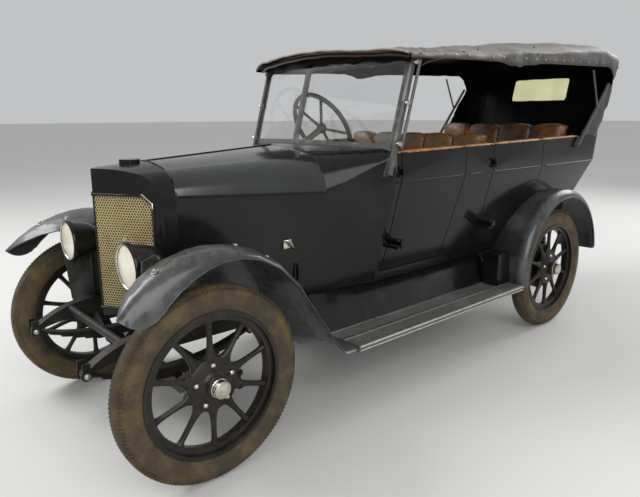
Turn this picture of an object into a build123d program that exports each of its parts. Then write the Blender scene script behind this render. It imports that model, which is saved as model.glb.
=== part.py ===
from build123d import *
import os
from math import atan2, cos, degrees, radians, sin, sqrt, tan

os.makedirs("parts", exist_ok=True)

# Open touring car of the 1920s with right-hand steering. Millimetres.
# The car's left is +X, its rear is +Y and up is +Z. The tyres stand on Z = 0.
# Stations along the car are distances behind the front axle.

# Wheels and axles
WHEELBASE = 2700
TRACK = 1274
TYRE_RADIUS = 410
TYRE_WIDTH = 98
RIM_RADIUS = 306
RIM_WIDTH = 76
BEAD_RADIUS = 298
FELLOE_RADIUS = 268
FELLOE_WIDTH = 48
SPOKES = 10
SPOKE_THICK = 26
HUB_RADIUS = 112
HUB_THICK = 36
HUB_CAP_RADIUS = 37
HUB_CAP_REACH = 92
HUB_BARREL = 56
WHEEL_BOLTS = 5
BOLT_CIRCLE = 85
BOLT_TURN = 3
TYRE_FACETS = 64
STUB_RADIUS = 18
RUNNING_FIT = 0.05
END_PLAY = 1
KINGPIN_INSET = 92
KINGPIN_RADIUS = 12
STEERING_ARM = 190
TIE_ROD_LEVEL = 312
BEAM_TOP = 345
BEAM_DEPTH = 60
BRAKE_RADIUS = 148

# Chassis
RAIL_TOP = 570
RAIL_DEPTH = 90
RAIL_WIDTH = 50
RAIL_CENTRE = 325
KICK_START = WHEELBASE - 300
KICK_END = WHEELBASE - 160
KICK_RISE = 75
EYE_LEVEL = 462
EYE_RADIUS = 16
FRONT_SPRING_HALF = 385
REAR_SPRING_HALF = 500
LEAF_THICK = 8
LEAVES = 6
TUBE_STATION = -215
TUBE_LEVEL = 534
CROSS_TUBE_RADIUS = 18

# Body
BODY_WALL = 30
SCUTTLE_START = 800
TUB_START = 1130
RAIL_FRONT_LEVEL = 1266
RAIL_SLOPE = 0.0166
DOOR_GAP = 6
DOOR_BOTTOM = 632
FRONT_DOOR = (1170, 1700)
REAR_DOOR = (2010, 2570)
HINGE_OUT = 14
FLOOR_THICK = 18
SHEET = 5

# Fenders and running boards
FENDER_OUT = 730
FRONT_CROWN = 970
FRONT_CROWN_STATION = 20
FRONT_NOSE_RADIUS = 530
FRONT_TAIL_RADIUS = 461
FRONT_TAIL_ANGLE = 55.5
REAR_FENDER_RADIUS = 520
REAR_FENDER_STATION = WHEELBASE + 60
REAR_FENDER_LEVEL = 435
REAR_TIP_LEVEL = 465
BOARD_TOP = 385
BOARD_THICK = 28
BOARD_INSIDE = 500
BOARD_START = 745
BOARD_END = REAR_FENDER_STATION - 524
BRACKET_INSET = 256

# Canopy
CANOPY_REAR = 3650
CANOPY_FRONT = 1040
CANOPY_CORNER = 1195
CANOPY_BOW_HALF = 700
CANOPY_THICK = 12

# Overall reach, from the front tyre's tread to the canopy's rear
AXLE_Y = -(CANOPY_REAR - TYRE_RADIUS) / 2
SIDES = {"left": 1, "right": -1}


def at(distance):
    """Y of a station that lies this far behind the front axle."""
    return AXLE_Y + distance


def cross_plane(distance):
    """Plane across the car at a station: local x is X and local y is Z."""
    return Plane.XZ.offset(-at(distance))


def side_plane(offset):
    """Plane along the car at X = offset: local x is Y and local y is Z."""
    return Plane.YZ.offset(offset)


def finish(part, name):
    """Names a finished piece and writes its file."""
    part.label = name
    export_step(part, f"parts/{name}.step")


# Tub of the body: levels with half width, rear station and rear corner radius
TUB_LEVELS = [
    # level, half width, rear, corner
    (RAIL_TOP, 450, 3060, 90),
    (800, 520, 3240, 120),
    (1120, 600, 3460, 135),
    (1330, 600, 3500, 135),
]


def rounded_block(levels, front, inset):
    """Block lofted through levels of half width, rear and corner, drawn in by inset."""
    with BuildPart() as block:
        for level, half, rear, corner in levels:
            length = rear - inset - front
            with BuildSketch(Plane.XY.offset(level)):
                with Locations((0, at(front + length / 2))):
                    Rectangle(2 * (half - inset), length)
                fillet(vertices().group_by(Axis.Y)[-1], corner - inset)
        loft(ruled=True)
    return block.part


def rail_plane():
    """The sloping plane of the body's top rail."""
    origin = (0, at(TUB_START), RAIL_FRONT_LEVEL)
    return Plane(origin=origin, x_dir=(1, 0, 0), z_dir=(0, -RAIL_SLOPE, 1))


with BuildPart() as tub_block:
    add(rounded_block(TUB_LEVELS, TUB_START, 0))
    split(bisect_by=rail_plane(), keep=Keep.BOTTOM)

with BuildPart() as tub_shell:
    add(tub_block.part)
    add(rounded_block(TUB_LEVELS, TUB_START - 20, BODY_WALL), mode=Mode.SUBTRACT)

# Bonnet and scuttle sections, each half: bottom, two side points, shoulder,
# point on the shoulder's arc, end of the crown's arc and the crown itself
NOSE = dict(bottom=276, low=(282, 790), high=(287, 1000), shoulder=(290, 1115),
            turn=(258, 1182), brow=(178, 1226), crown=1252)
BONNET_REAR = dict(bottom=375, low=(405, 790), high=(432, 1000), shoulder=(440, 1085),
                   turn=(404, 1190), brow=(290, 1262), crown=1300)
SCUTTLE_REAR = dict(bottom=450, low=(520, 800), high=(600, 1120),
                    shoulder=(600, RAIL_FRONT_LEVEL), turn=(572, 1281), brow=(520, 1290),
                    crown=1308)
BONNET_START = 75


def hood_section(distance, form, inset=0):
    """Cross section of bonnet or scuttle, drawn in by inset on every side but the bottom."""
    def near(point, down=0):
        return (point[0] - inset, point[1] - down)

    low, high = near(form["low"]), near(form["high"])
    shoulder = near(form["shoulder"], inset / 3)
    turn = (form["turn"][0] - inset * 0.75, form["turn"][1] - inset * 0.7)
    brow = (form["brow"][0] - inset * 0.2, form["brow"][1] - inset)
    base = (form["bottom"] - inset, RAIL_TOP)
    with BuildSketch(cross_plane(distance)) as section:
        with BuildLine():
            for side in (1, -1):
                Polyline(*[(side * x, z) for x, z in (base, low, high, shoulder)])
                ThreePointArc(*[(side * x, z) for x, z in (shoulder, turn, brow)])
            ThreePointArc((-brow[0], brow[1]), (0, form["crown"] - inset), brow)
            Line((-base[0], base[1]), base)
        make_face()
    return section.sketch


# Scuttle: shell with the firewall at its front
SCUTTLE_WALL = 18
FIREWALL = 8
with BuildPart() as scuttle_block:
    sections = [hood_section(SCUTTLE_START, BONNET_REAR), hood_section(TUB_START, SCUTTLE_REAR)]
    loft(sections=sections, ruled=True)

with BuildPart() as scuttle_space:
    sections = [
        hood_section(SCUTTLE_START, BONNET_REAR, SCUTTLE_WALL),
        hood_section(TUB_START, SCUTTLE_REAR, BODY_WALL),
    ]
    loft(sections=sections, ruled=True)

# Steering column: from the wheel's hub forward and down to its box on the frame
STEER_X = -330
STEER_HUB = (1458, 1373)
STEER_SLOPE = 29.5
STEER_WHEEL_RADIUS = 250
COLUMN_RADIUS = 20
COLUMN_LENGTH = 1250
steer_axis = Vector(0, cos(radians(STEER_SLOPE)), sin(radians(STEER_SLOPE)))
steer_hub = Vector(STEER_X, at(STEER_HUB[0]), STEER_HUB[1])
steer_plane = Plane(origin=steer_hub, x_dir=(1, 0, 0), z_dir=steer_axis)

with BuildPart() as scuttle:
    add(scuttle_block.part)
    add(scuttle_space.part, mode=Mode.SUBTRACT)
    with BuildSketch(cross_plane(SCUTTLE_START)):
        add(hood_section(SCUTTLE_START, BONNET_REAR, SCUTTLE_WALL / 2))
    extrude(amount=-FIREWALL)
    with BuildSketch(steer_plane):
        Circle(COLUMN_RADIUS + 3)
    extrude(amount=-COLUMN_LENGTH, mode=Mode.SUBTRACT)
finish(scuttle.part, "scuttle")

# Dashboard: a board across the scuttle, with the column passing below it
DASH_STATION = 1090
DASH_THICK = 16
DASH_BOTTOM = 1192
with BuildPart() as dashboard:
    with Locations((0, at(DASH_STATION), DASH_BOTTOM)):
        Box(1300, DASH_THICK, 300, align=(Align.CENTER, Align.CENTER, Align.MIN))
    add(scuttle_space.part, mode=Mode.INTERSECT)
finish(dashboard.part, "dashboard")

# Bonnet: hinged top over two plain side panels
with BuildPart() as bonnet_shell:
    for inset, mode in ((0, Mode.ADD), (SHEET, Mode.SUBTRACT)):
        sections = [
            hood_section(BONNET_START, NOSE, inset),
            hood_section(SCUTTLE_START, BONNET_REAR, inset),
        ]
        loft(sections=sections, ruled=True, mode=mode)

hinge_slope = (BONNET_REAR["shoulder"][1] - NOSE["shoulder"][1]) / (SCUTTLE_START - BONNET_START)
hinge_plane = Plane(
    origin=(0, at(BONNET_START), NOSE["shoulder"][1]), x_dir=(1, 0, 0), z_dir=(0, -hinge_slope, 1)
)
with BuildPart() as bonnet_top:
    add(bonnet_shell.part)
    split(bisect_by=hinge_plane, keep=Keep.TOP)
finish(bonnet_top.part, "bonnet_top")

with BuildPart() as bonnet_sides:
    add(bonnet_shell.part)
    split(bisect_by=hinge_plane, keep=Keep.BOTTOM)
finish(bonnet_sides.part, "bonnet_sides")

# Radiator: pointed shell, brass core and filler
PROW = -170
RADIATOR_HALF = 270
CORE_HALF = 248
CORE_BOTTOM = 612
CORE_TOP = 1122
CORE_CHAMFER = 38
CORE_DEPTH = 70
CORE_RECESS = 5
MOULDING = 12
FILLER_STATION = 7
NECK_RADIUS = 30
CAP_RADIUS = 45
CAP_TOP = 1264
prow_slope = -PROW / RADIATOR_HALF


def prow_outline(half, recess, depth):
    """Plan of a pointed slab behind the radiator's face, recess deep and depth thick."""
    tip = at(PROW + recess)
    wing = tip + half * prow_slope
    Polygon((0, tip), (half, wing), (half, wing + depth), (0, tip + depth),
            (-half, wing + depth), (-half, wing), align=None)


with BuildPart() as radiator_shell:
    front_form = dict(NOSE, bottom=268, low=(270, 790), high=(270, 1000), shoulder=(270, 1126),
                      turn=(236, 1180), brow=(160, 1214), crown=1232)
    sections = [hood_section(PROW - 5, front_form), hood_section(BONNET_START, NOSE)]
    loft(sections=sections, ruled=True)
    with BuildSketch(Plane.XY.offset(RAIL_TOP)):
        with BuildLine():
            Polyline((0, at(PROW)), (RADIATOR_HALF, at(0)), (RADIATOR_HALF + 60, at(BONNET_START)),
                     (-RADIATOR_HALF - 60, at(BONNET_START)), (-RADIATOR_HALF, at(0)),
                     (0, at(PROW)))
        make_face()
    extrude(amount=CAP_TOP - RAIL_TOP, mode=Mode.INTERSECT)
    with BuildSketch(cross_plane(PROW - 20)):
        with Locations((0, (CORE_BOTTOM + CORE_TOP) / 2)):
            Rectangle(2 * CORE_HALF, CORE_TOP - CORE_BOTTOM)
        chamfer(vertices().group_by(Axis.Y)[-1], CORE_CHAMFER)
    extrude(amount=-(BONNET_START - PROW + 40), mode=Mode.SUBTRACT)
    with BuildSketch(Plane.XY.offset(CORE_TOP)):
        prow_outline(CORE_HALF - CORE_CHAMFER, -MOULDING / 2, MOULDING)
    extrude(amount=MOULDING)
    with Locations((0, at(FILLER_STATION), CAP_TOP - 60)):
        Cylinder(NECK_RADIUS, 40, align=(Align.CENTER, Align.CENTER, Align.MIN))
    with BuildSketch(Plane.XY.offset(CAP_TOP - 24)):
        with Locations((0, at(FILLER_STATION))):
            Circle(CAP_RADIUS)
            with PolarLocations(CAP_RADIUS + 4, 8):
                Circle(9, mode=Mode.SUBTRACT)
    extrude(amount=24)
finish(radiator_shell.part, "radiator_shell")

with BuildPart() as radiator_core:
    with BuildSketch(Plane.XY.offset(CORE_BOTTOM)):
        prow_outline(CORE_HALF, CORE_RECESS, CORE_DEPTH)
    extrude(amount=CORE_TOP - CORE_BOTTOM)
    with BuildSketch(cross_plane(PROW - 20)):
        with Locations((0, (CORE_BOTTOM + CORE_TOP) / 2)):
            Rectangle(2 * CORE_HALF, CORE_TOP - CORE_BOTTOM)
        chamfer(vertices().group_by(Axis.Y)[-1], CORE_CHAMFER)
    extrude(amount=-(BONNET_START - PROW + 40), mode=Mode.INTERSECT)
finish(radiator_core.part, "radiator_core")

# Chassis frame: two rails with dumb irons, kicked up over the rear axle
FRAME_END = WHEELBASE + REAR_SPRING_HALF
with BuildPart() as frame:
    rail_bottom = RAIL_TOP - RAIL_DEPTH
    for side in SIDES.values():
        with BuildSketch(side_plane(side * RAIL_CENTRE - RAIL_WIDTH / 2)):
            with BuildLine():
                Polyline(
                    (at(-100), RAIL_TOP), (at(KICK_START), RAIL_TOP),
                    (at(KICK_END), RAIL_TOP + KICK_RISE),
                    (at(FRAME_END - 130), RAIL_TOP + KICK_RISE),
                )
                ThreePointArc(
                    (at(FRAME_END - 130), RAIL_TOP + KICK_RISE),
                    (at(FRAME_END - 35), RAIL_TOP + KICK_RISE - 45),
                    (at(FRAME_END + EYE_RADIUS + 4), EYE_LEVEL),
                )
                Polyline(
                    (at(FRAME_END + EYE_RADIUS + 4), EYE_LEVEL),
                    (at(FRAME_END - EYE_RADIUS - 4), EYE_LEVEL),
                    (at(FRAME_END - 120), rail_bottom + KICK_RISE),
                    (at(KICK_END), rail_bottom + KICK_RISE),
                    (at(KICK_START), rail_bottom),
                    (at(-40), rail_bottom),
                )
                ThreePointArc(
                    (at(-40), rail_bottom), (at(-210), rail_bottom + 10),
                    (at(-FRONT_SPRING_HALF + EYE_RADIUS), EYE_LEVEL),
                )
                Line(
                    (at(-FRONT_SPRING_HALF + EYE_RADIUS), EYE_LEVEL),
                    (at(-FRONT_SPRING_HALF - EYE_RADIUS), EYE_LEVEL),
                )
                TangentArc(
                    (at(-100), RAIL_TOP), (at(-FRONT_SPRING_HALF - EYE_RADIUS), EYE_LEVEL),
                    tangent=(-1, 0),
                )
            make_face()
        extrude(amount=RAIL_WIDTH)
        for station in (-FRONT_SPRING_HALF, FRONT_SPRING_HALF,
                        WHEELBASE - REAR_SPRING_HALF, WHEELBASE + REAR_SPRING_HALF):
            with Locations((side * RAIL_CENTRE, at(station), EYE_LEVEL)):
                Cylinder(EYE_RADIUS, RAIL_WIDTH, rotation=(0, 90, 0), mode=Mode.SUBTRACT)
            for cheek in (-1, 1):
                with BuildSketch(side_plane(side * RAIL_CENTRE + cheek * (RAIL_WIDTH + 6) / 2)):
                    with Locations((at(station), EYE_LEVEL)):
                        Circle(EYE_RADIUS + 6)
                        Rectangle(2 * EYE_RADIUS, 50, align=(Align.CENTER, Align.MIN))
                extrude(amount=3, both=True)
    inner = 2 * RAIL_CENTRE - RAIL_WIDTH
    for station, length, depth, lift in (
        # station, length along the car, depth, rise of its top
        (20, 70, RAIL_DEPTH - 10, 0),
        (1150, 60, 36, 0),
        (KICK_START - 230, 60, 60, 0),
        (WHEELBASE + 400, 60, 60, KICK_RISE),
    ):
        with Locations((0, at(station), RAIL_TOP + lift)):
            Box(inner, length, depth, align=(Align.CENTER, Align.CENTER, Align.MAX))
    with Locations((0, at(TUBE_STATION), TUBE_LEVEL)):
        Cylinder(CROSS_TUBE_RADIUS, 2 * RAIL_CENTRE, rotation=(0, 90, 0))
finish(frame.part, "frame")

# Leaf springs: concentric arcs, each leaf shorter than the one above it
with BuildPart() as springs:
    for centre, half, middle in (
        # station of the axle, half length, level of the pack's top at the axle
        (0, FRONT_SPRING_HALF, BEAM_TOP + LEAVES * LEAF_THICK),
        (WHEELBASE, REAR_SPRING_HALF, TYRE_RADIUS - 45),
    ):
        rise = EYE_LEVEL - (middle - LEAF_THICK / 2)
        bend = (half * half + rise * rise) / (2 * rise)
        hub_level = middle - LEAF_THICK / 2 + bend
        for side in SIDES.values():
            with BuildSketch(side_plane(side * RAIL_CENTRE - RAIL_WIDTH / 2)):
                for leaf in range(LEAVES):
                    outer = bend + LEAF_THICK * (leaf + 0.5)
                    inside = outer - LEAF_THICK
                    reach = half * (1 - 0.15 * leaf) / bend
                    with BuildLine():
                        ends = []
                        for radius in (inside, outer):
                            points = [
                                (at(centre) + radius * sin(turn), hub_level - radius * cos(turn))
                                for turn in (-reach, 0, reach)
                            ]
                            ThreePointArc(*points)
                            ends.append(points)
                        Line(ends[0][0], ends[1][0])
                        Line(ends[0][2], ends[1][2])
                    make_face()
                with Locations((at(centre - half), EYE_LEVEL), (at(centre + half), EYE_LEVEL)):
                    Circle(EYE_RADIUS)
            extrude(amount=RAIL_WIDTH)
finish(springs.part, "springs")

# Front axle: dropped beam with spring pads and kingpin eyes
KINGPIN_X = TRACK / 2 - KINGPIN_INSET
EYE_HALF = 35
with BuildPart() as front_axle:
    beam_bottom = BEAM_TOP - BEAM_DEPTH
    hub = TYRE_RADIUS
    with BuildSketch(cross_plane(-22)):
        with BuildLine():
            Polyline(
                (KINGPIN_X, hub + EYE_HALF), (KINGPIN_X - 26, hub + EYE_HALF),
                (RAIL_CENTRE + 60, BEAM_TOP), (-RAIL_CENTRE - 60, BEAM_TOP),
                (-KINGPIN_X + 26, hub + EYE_HALF), (-KINGPIN_X, hub + EYE_HALF),
                (-KINGPIN_X, hub - EYE_HALF), (-KINGPIN_X + 26, hub - EYE_HALF),
                (-RAIL_CENTRE - 80, beam_bottom), (RAIL_CENTRE + 80, beam_bottom),
                (KINGPIN_X - 26, hub - EYE_HALF), (KINGPIN_X, hub - EYE_HALF),
                (KINGPIN_X, hub + EYE_HALF),
            )
        make_face()
    extrude(amount=-44)
    with Locations((KINGPIN_X, at(0), hub), (-KINGPIN_X, at(0), hub)):
        Cylinder(26, 2 * EYE_HALF)
        Cylinder(KINGPIN_RADIUS + RUNNING_FIT, 2 * EYE_HALF, mode=Mode.SUBTRACT)
finish(front_axle.part, "front_axle")

# Steering knuckles: kingpin, two lugs, stub axle and steering arm
LUG = 16
LUG_GAP = 2
KNUCKLE_FACE = TRACK / 2 - 49
STUB_END = TRACK / 2 + 70
for name, side in SIDES.items():
    pin_x = side * KINGPIN_X
    with BuildPart() as knuckle:
        with Locations((pin_x, at(0), TYRE_RADIUS)):
            Cylinder(KINGPIN_RADIUS, 2 * (EYE_HALF + LUG_GAP + LUG))
        for level in (EYE_HALF + LUG_GAP, -EYE_HALF - LUG_GAP - LUG):
            with BuildSketch(Plane.XY.offset(TYRE_RADIUS + level)):
                with Locations((pin_x, at(0))):
                    Circle(24)
                with Locations((side * (KINGPIN_X + KNUCKLE_FACE) / 2, at(0))):
                    Rectangle(KNUCKLE_FACE - KINGPIN_X, 44)
            extrude(amount=LUG)
        bridge = KNUCKLE_FACE - KINGPIN_X - 28
        with Locations((side * (KNUCKLE_FACE - bridge / 2), at(0), TYRE_RADIUS)):
            Box(bridge, 44, 2 * (EYE_HALF + LUG_GAP + LUG))
        with BuildSketch(side_plane(side * KNUCKLE_FACE)):
            with Locations((at(0), TYRE_RADIUS)):
                Circle(STUB_RADIUS)
        extrude(amount=side * (STUB_END - KNUCKLE_FACE))
        arm_top = TYRE_RADIUS - EYE_HALF - LUG_GAP
        with Locations((pin_x, at(STEERING_ARM / 2), arm_top)):
            Box(20, STEERING_ARM, LUG, align=(Align.CENTER, Align.CENTER, Align.MAX))
        with Locations((pin_x, at(STEERING_ARM), arm_top)):
            Cylinder(16, LUG, align=(Align.CENTER, Align.CENTER, Align.MAX))
            Cylinder(8, arm_top - TIE_ROD_LEVEL + 22,
                     align=(Align.CENTER, Align.CENTER, Align.MAX))
    finish(knuckle.part, f"knuckle_{name}")

# Tie rod: carried on the two steering arms' pins
with BuildPart() as tie_rod:
    with Locations((0, at(STEERING_ARM), TIE_ROD_LEVEL)):
        Cylinder(11, 2 * KINGPIN_X, rotation=(0, 90, 0))
    with Locations((KINGPIN_X, at(STEERING_ARM), TIE_ROD_LEVEL),
                   (-KINGPIN_X, at(STEERING_ARM), TIE_ROD_LEVEL)):
        Cylinder(18, 30)
        Cylinder(8 + RUNNING_FIT, 30, mode=Mode.SUBTRACT)
finish(tie_rod.part, "tie_rod")

# Rear axle: tube, differential housing, brake plates and torque tube
TUBE_RADIUS = 35
PLATE_FACE = TRACK / 2 - 92
GEARBOX_END = 1110
with BuildPart() as rear_axle:
    with Locations((0, at(WHEELBASE), TYRE_RADIUS)):
        Cylinder(TUBE_RADIUS, 2 * PLATE_FACE, rotation=(0, 90, 0))
        Cylinder(STUB_RADIUS, 2 * STUB_END, rotation=(0, 90, 0))
        Sphere(125)
    for side in SIDES.values():
        with Locations((side * (PLATE_FACE - 4), at(WHEELBASE), TYRE_RADIUS)):
            Cylinder(BRAKE_RADIUS - 4, 8, rotation=(0, 90, 0))
        with Locations((side * RAIL_CENTRE, at(WHEELBASE), TYRE_RADIUS - 44)):
            Box(RAIL_WIDTH, 90, 39, align=(Align.CENTER, Align.CENTER, Align.MIN))
    start = Vector(0, at(GEARBOX_END + 4), 478)
    run = Vector(0, at(WHEELBASE), TYRE_RADIUS) - start
    with BuildSketch(Plane(origin=start, x_dir=(1, 0, 0), z_dir=run)):
        Circle(38)
    extrude(amount=run.length)
finish(rear_axle.part, "rear_axle")

# Engine and gearbox: one plain block with its bearers and the exhaust beside it
with BuildPart() as engine:
    with Locations((0, at(370), 440)):
        Box(300, 520, 560, align=(Align.CENTER, Align.CENTER, Align.MIN))
    with Locations((0, at((630 + GEARBOX_END) / 2), 410)):
        Box(220, GEARBOX_END - 630, 140, align=(Align.CENTER, Align.CENTER, Align.MIN))
    for station in (180, 560):
        with Locations((0, at(station), RAIL_TOP - 60)):
            Box(inner, 50, 30)
finish(engine.part, "engine")

# Wheels: ten spokes, felloe, rim and hub in one piece; tyre beaded on the rim
DRUM_DEPTH = 40
bore = STUB_RADIUS + RUNNING_FIT
bore_end = STUB_END - TRACK / 2 + END_PLAY
AXLES = {"front": 0, "rear": WHEELBASE}
facet_turn = 180 / TYRE_FACETS
# Half widths of a spoke at its radii: flared at the hub and at the felloe
spoke_form = [
    (HUB_RADIUS - 12, 34), (HUB_RADIUS + 12, 20), (HUB_RADIUS + 40, 14), (205, 11),
    (FELLOE_RADIUS - 24, 12), (FELLOE_RADIUS + 6, 19),
]
spoke_outline = spoke_form + [(radius, -half) for radius, half in reversed(spoke_form)]
for axle, station in AXLES.items():
    for name, side in SIDES.items():
        hub_plane = Plane(
            origin=(side * TRACK / 2, at(station), TYRE_RADIUS), x_dir=(0, 1, 0), z_dir=(side, 0, 0)
        )
        hub_axis = Axis(hub_plane.origin, hub_plane.z_dir)
        radial = Plane(origin=hub_plane.origin, x_dir=(0, 0, 1), z_dir=(0, side, 0))
        with BuildPart() as wheel:
            with BuildSketch(hub_plane):
                with PolarLocations(0, SPOKES):
                    Polygon(*spoke_outline, align=None)
            extrude(amount=SPOKE_THICK / 2, both=True)
            # Profiles below are drawn as radius and distance along the axle, outwards
            with BuildSketch(radial):
                with BuildLine():
                    Polyline(
                        (FELLOE_RADIUS, -FELLOE_WIDTH / 2), (BEAD_RADIUS - 6, -FELLOE_WIDTH / 2),
                        (BEAD_RADIUS - 6, -RIM_WIDTH / 2), (RIM_RADIUS, -RIM_WIDTH / 2),
                        (RIM_RADIUS, -RIM_WIDTH / 2 + 6), (BEAD_RADIUS, -RIM_WIDTH / 2 + 6),
                        (BEAD_RADIUS, RIM_WIDTH / 2 - 6), (RIM_RADIUS, RIM_WIDTH / 2 - 6),
                        (RIM_RADIUS, RIM_WIDTH / 2), (BEAD_RADIUS - 6, RIM_WIDTH / 2),
                        (BEAD_RADIUS - 6, FELLOE_WIDTH / 2), (FELLOE_RADIUS, FELLOE_WIDTH / 2),
                        close=True,
                    )
                make_face()
                with BuildLine():
                    Polyline(
                        (bore, -42), (44, -42), (44, -HUB_THICK / 2),
                        (HUB_RADIUS, -HUB_THICK / 2), (HUB_RADIUS, HUB_THICK / 2), (52, 24),
                        (44, 30), (44, HUB_BARREL), (HUB_CAP_RADIUS, HUB_BARREL + 4),
                        (HUB_CAP_RADIUS, HUB_CAP_REACH - 5),
                        (HUB_CAP_RADIUS - 6, HUB_CAP_REACH), (0, HUB_CAP_REACH),
                        (0, bore_end), (bore, bore_end), close=True,
                    )
                make_face()
                if axle == "rear":
                    with BuildLine():
                        Polyline(
                            (40, -42), (BRAKE_RADIUS, -42), (BRAKE_RADIUS, -42 - DRUM_DEPTH),
                            (BRAKE_RADIUS + 6, -42 - DRUM_DEPTH), (BRAKE_RADIUS + 6, -34),
                            (40, -34), close=True,
                        )
                    make_face()
            revolve(axis=hub_axis)
            with BuildSketch(hub_plane.offset(HUB_THICK / 2 - 4)):
                with PolarLocations(BOLT_CIRCLE, WHEEL_BOLTS, start_angle=BOLT_TURN):
                    RegularPolygon(10, 6)
            extrude(amount=18)
        finish(wheel.part, f"wheel_{axle}_{name}")
        with BuildPart() as tyre:
            half_bead = RIM_WIDTH / 2 - 6
            rings = [
                # radius, distance from the wheel's middle
                (RIM_RADIUS, half_bead), (RIM_RADIUS + 46, TYRE_WIDTH / 2),
                (TYRE_RADIUS - 20, 36), (TYRE_RADIUS, 16),
            ]
            rings = [(radius, -out) for radius, out in rings] + rings[::-1]
            for radius, out in rings:
                with BuildSketch(hub_plane.offset(out)):
                    RegularPolygon(radius, TYRE_FACETS, major_radius=False, rotation=facet_turn)
            loft(ruled=True)
            with BuildSketch(hub_plane.offset(-half_bead)):
                RegularPolygon(BEAD_RADIUS, TYRE_FACETS, major_radius=False, rotation=facet_turn)
            extrude(amount=2 * half_bead, mode=Mode.SUBTRACT)
        finish(tyre.part, f"tyre_{axle}_{name}")

# Floor with the sloping toe board, the front seat's box and the rear seat's boards
with BuildPart() as floor:
    half = TUB_LEVELS[0][1] - BODY_WALL
    with BuildSketch(side_plane(0)):
        with BuildLine():
            Polyline(
                (at(TUB_START), RAIL_TOP), (at(KICK_START), RAIL_TOP), (at(KICK_START), 742),
                (at(3000), 742),
                (at(3000), RAIL_TOP + KICK_RISE), (at(3018), RAIL_TOP + KICK_RISE),
                (at(3018), 760), (at(KICK_START - FLOOR_THICK), 760),
                (at(KICK_START - FLOOR_THICK), RAIL_TOP + FLOOR_THICK),
                (at(1990), RAIL_TOP + FLOOR_THICK), (at(1990), 800), (at(1480), 800),
                (at(1480), RAIL_TOP + FLOOR_THICK), (at(TUB_START), RAIL_TOP + FLOOR_THICK),
                close=True,
            )
        make_face()
    extrude(amount=half, both=True)
    with BuildSketch(side_plane(0)):
        with BuildLine():
            Polyline(
                (at(TUB_START), RAIL_TOP), (at(TUB_START + 20), RAIL_TOP + FLOOR_THICK),
                (at(880), 800), (at(864), 784), close=True,
            )
        make_face()
    extrude(amount=half - 90, both=True)
finish(floor.part, "floor")

# Doors: cut from the tub with the shut line bevelled, so each swings clear
DOOR_BEVEL = 22
DOOR_ARCH_GAP = 70


def door_cutter(place, side, grow):
    """Solid that cuts one door out of the tub, drawn in plan, grown by the gap."""
    front, rear = DOORS[place]
    slant = 150 * tan(radians(DOOR_BEVEL))
    with BuildPart() as cutter:
        with BuildSketch(Plane.XY.offset(DOOR_BOTTOM - grow)):
            with BuildLine():
                Polyline(
                    (side * 380, at(front - grow)), (side * 700, at(front - grow)),
                    (side * 700, at(rear + grow) + slant), (side * 550, at(rear + grow)),
                    (side * 380, at(rear + grow) - slant), close=True,
                )
            make_face()
        extrude(amount=1400 - DOOR_BOTTOM)
        if place == "rear":
            # The rear door's lower corner stays clear of the fender's arch
            with BuildSketch(side_plane(0)):
                with Locations((at(REAR_FENDER_STATION), REAR_FENDER_LEVEL)):
                    Circle(REAR_FENDER_RADIUS + DOOR_ARCH_GAP - grow)
            extrude(amount=800, both=True, mode=Mode.SUBTRACT)
    return cutter.part


HINGE_LEVELS = (800, 1172)
HINGE_RADIUS = 9
DOORS = {"front": FRONT_DOOR, "rear": REAR_DOOR}


def half_width(level):
    """Half width of the tub at a level."""
    for low, high in zip(TUB_LEVELS, TUB_LEVELS[1:]):
        if level <= high[0]:
            share = (level - low[0]) / (high[0] - low[0])
            return low[1] + share * (high[1] - low[1])
    return TUB_LEVELS[-1][1]


hinge_x = half_width(1200) + HINGE_OUT
with BuildPart() as tub:
    add(tub_shell.part)
    for side in SIDES.values():
        for place in DOORS:
            add(door_cutter(place, side, DOOR_GAP), mode=Mode.SUBTRACT)
    for side in SIDES.values():
        for front in (pair[0] for pair in DOORS.values()):
            for level in HINGE_LEVELS:
                for shift in (-21, 21):
                    skin = half_width(level + shift) - 8
                    middle = side * (skin + hinge_x) / 2
                    with Locations((middle, at(front) - 20, level + shift)):
                        Box(hinge_x - skin, 28, 10)
                    with Locations((side * hinge_x, at(front) - DOOR_GAP / 2, level + shift)):
                        Cylinder(HINGE_RADIUS, 10)
    with Locations((0, at(KICK_END), RAIL_TOP)):
        Box(1300, 800, KICK_RISE, align=(Align.CENTER, Align.MIN, Align.MIN), mode=Mode.SUBTRACT)
finish(tub.part, "tub")

for side_name, side in SIDES.items():
    for place, pair in DOORS.items():
        with BuildPart() as door:
            add(door_cutter(place, side, 0))
            add(tub_shell.part, mode=Mode.INTERSECT)
            for level in HINGE_LEVELS:
                skin = half_width(level - 15) - 6
                middle = side * (skin + hinge_x) / 2
                with Locations((middle, at(pair[0]) + 13, level)):
                    Box(hinge_x - skin, 30, 28)
                with Locations((side * hinge_x, at(pair[0]) - DOOR_GAP / 2, level)):
                    Cylinder(HINGE_RADIUS, 28)
        finish(door.part, f"door_{place}_{side_name}")

# Splash aprons between the frame and the running boards
APRON_TOP = RAIL_TOP - 2
with BuildPart() as splash_aprons:
    rail_face = RAIL_CENTRE + RAIL_WIDTH / 2
    for side in SIDES.values():
        with BuildSketch(cross_plane(BOARD_START)):
            with BuildLine():
                Polyline(
                    (side * rail_face, APRON_TOP), (side * rail_face, APRON_TOP - 7),
                    (side * BOARD_INSIDE, BOARD_TOP), (side * (BOARD_INSIDE + 7), BOARD_TOP),
                    close=True,
                )
            make_face()
        extrude(amount=-(BOARD_END - BOARD_START))
finish(splash_aprons.part, "splash_aprons")

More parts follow.
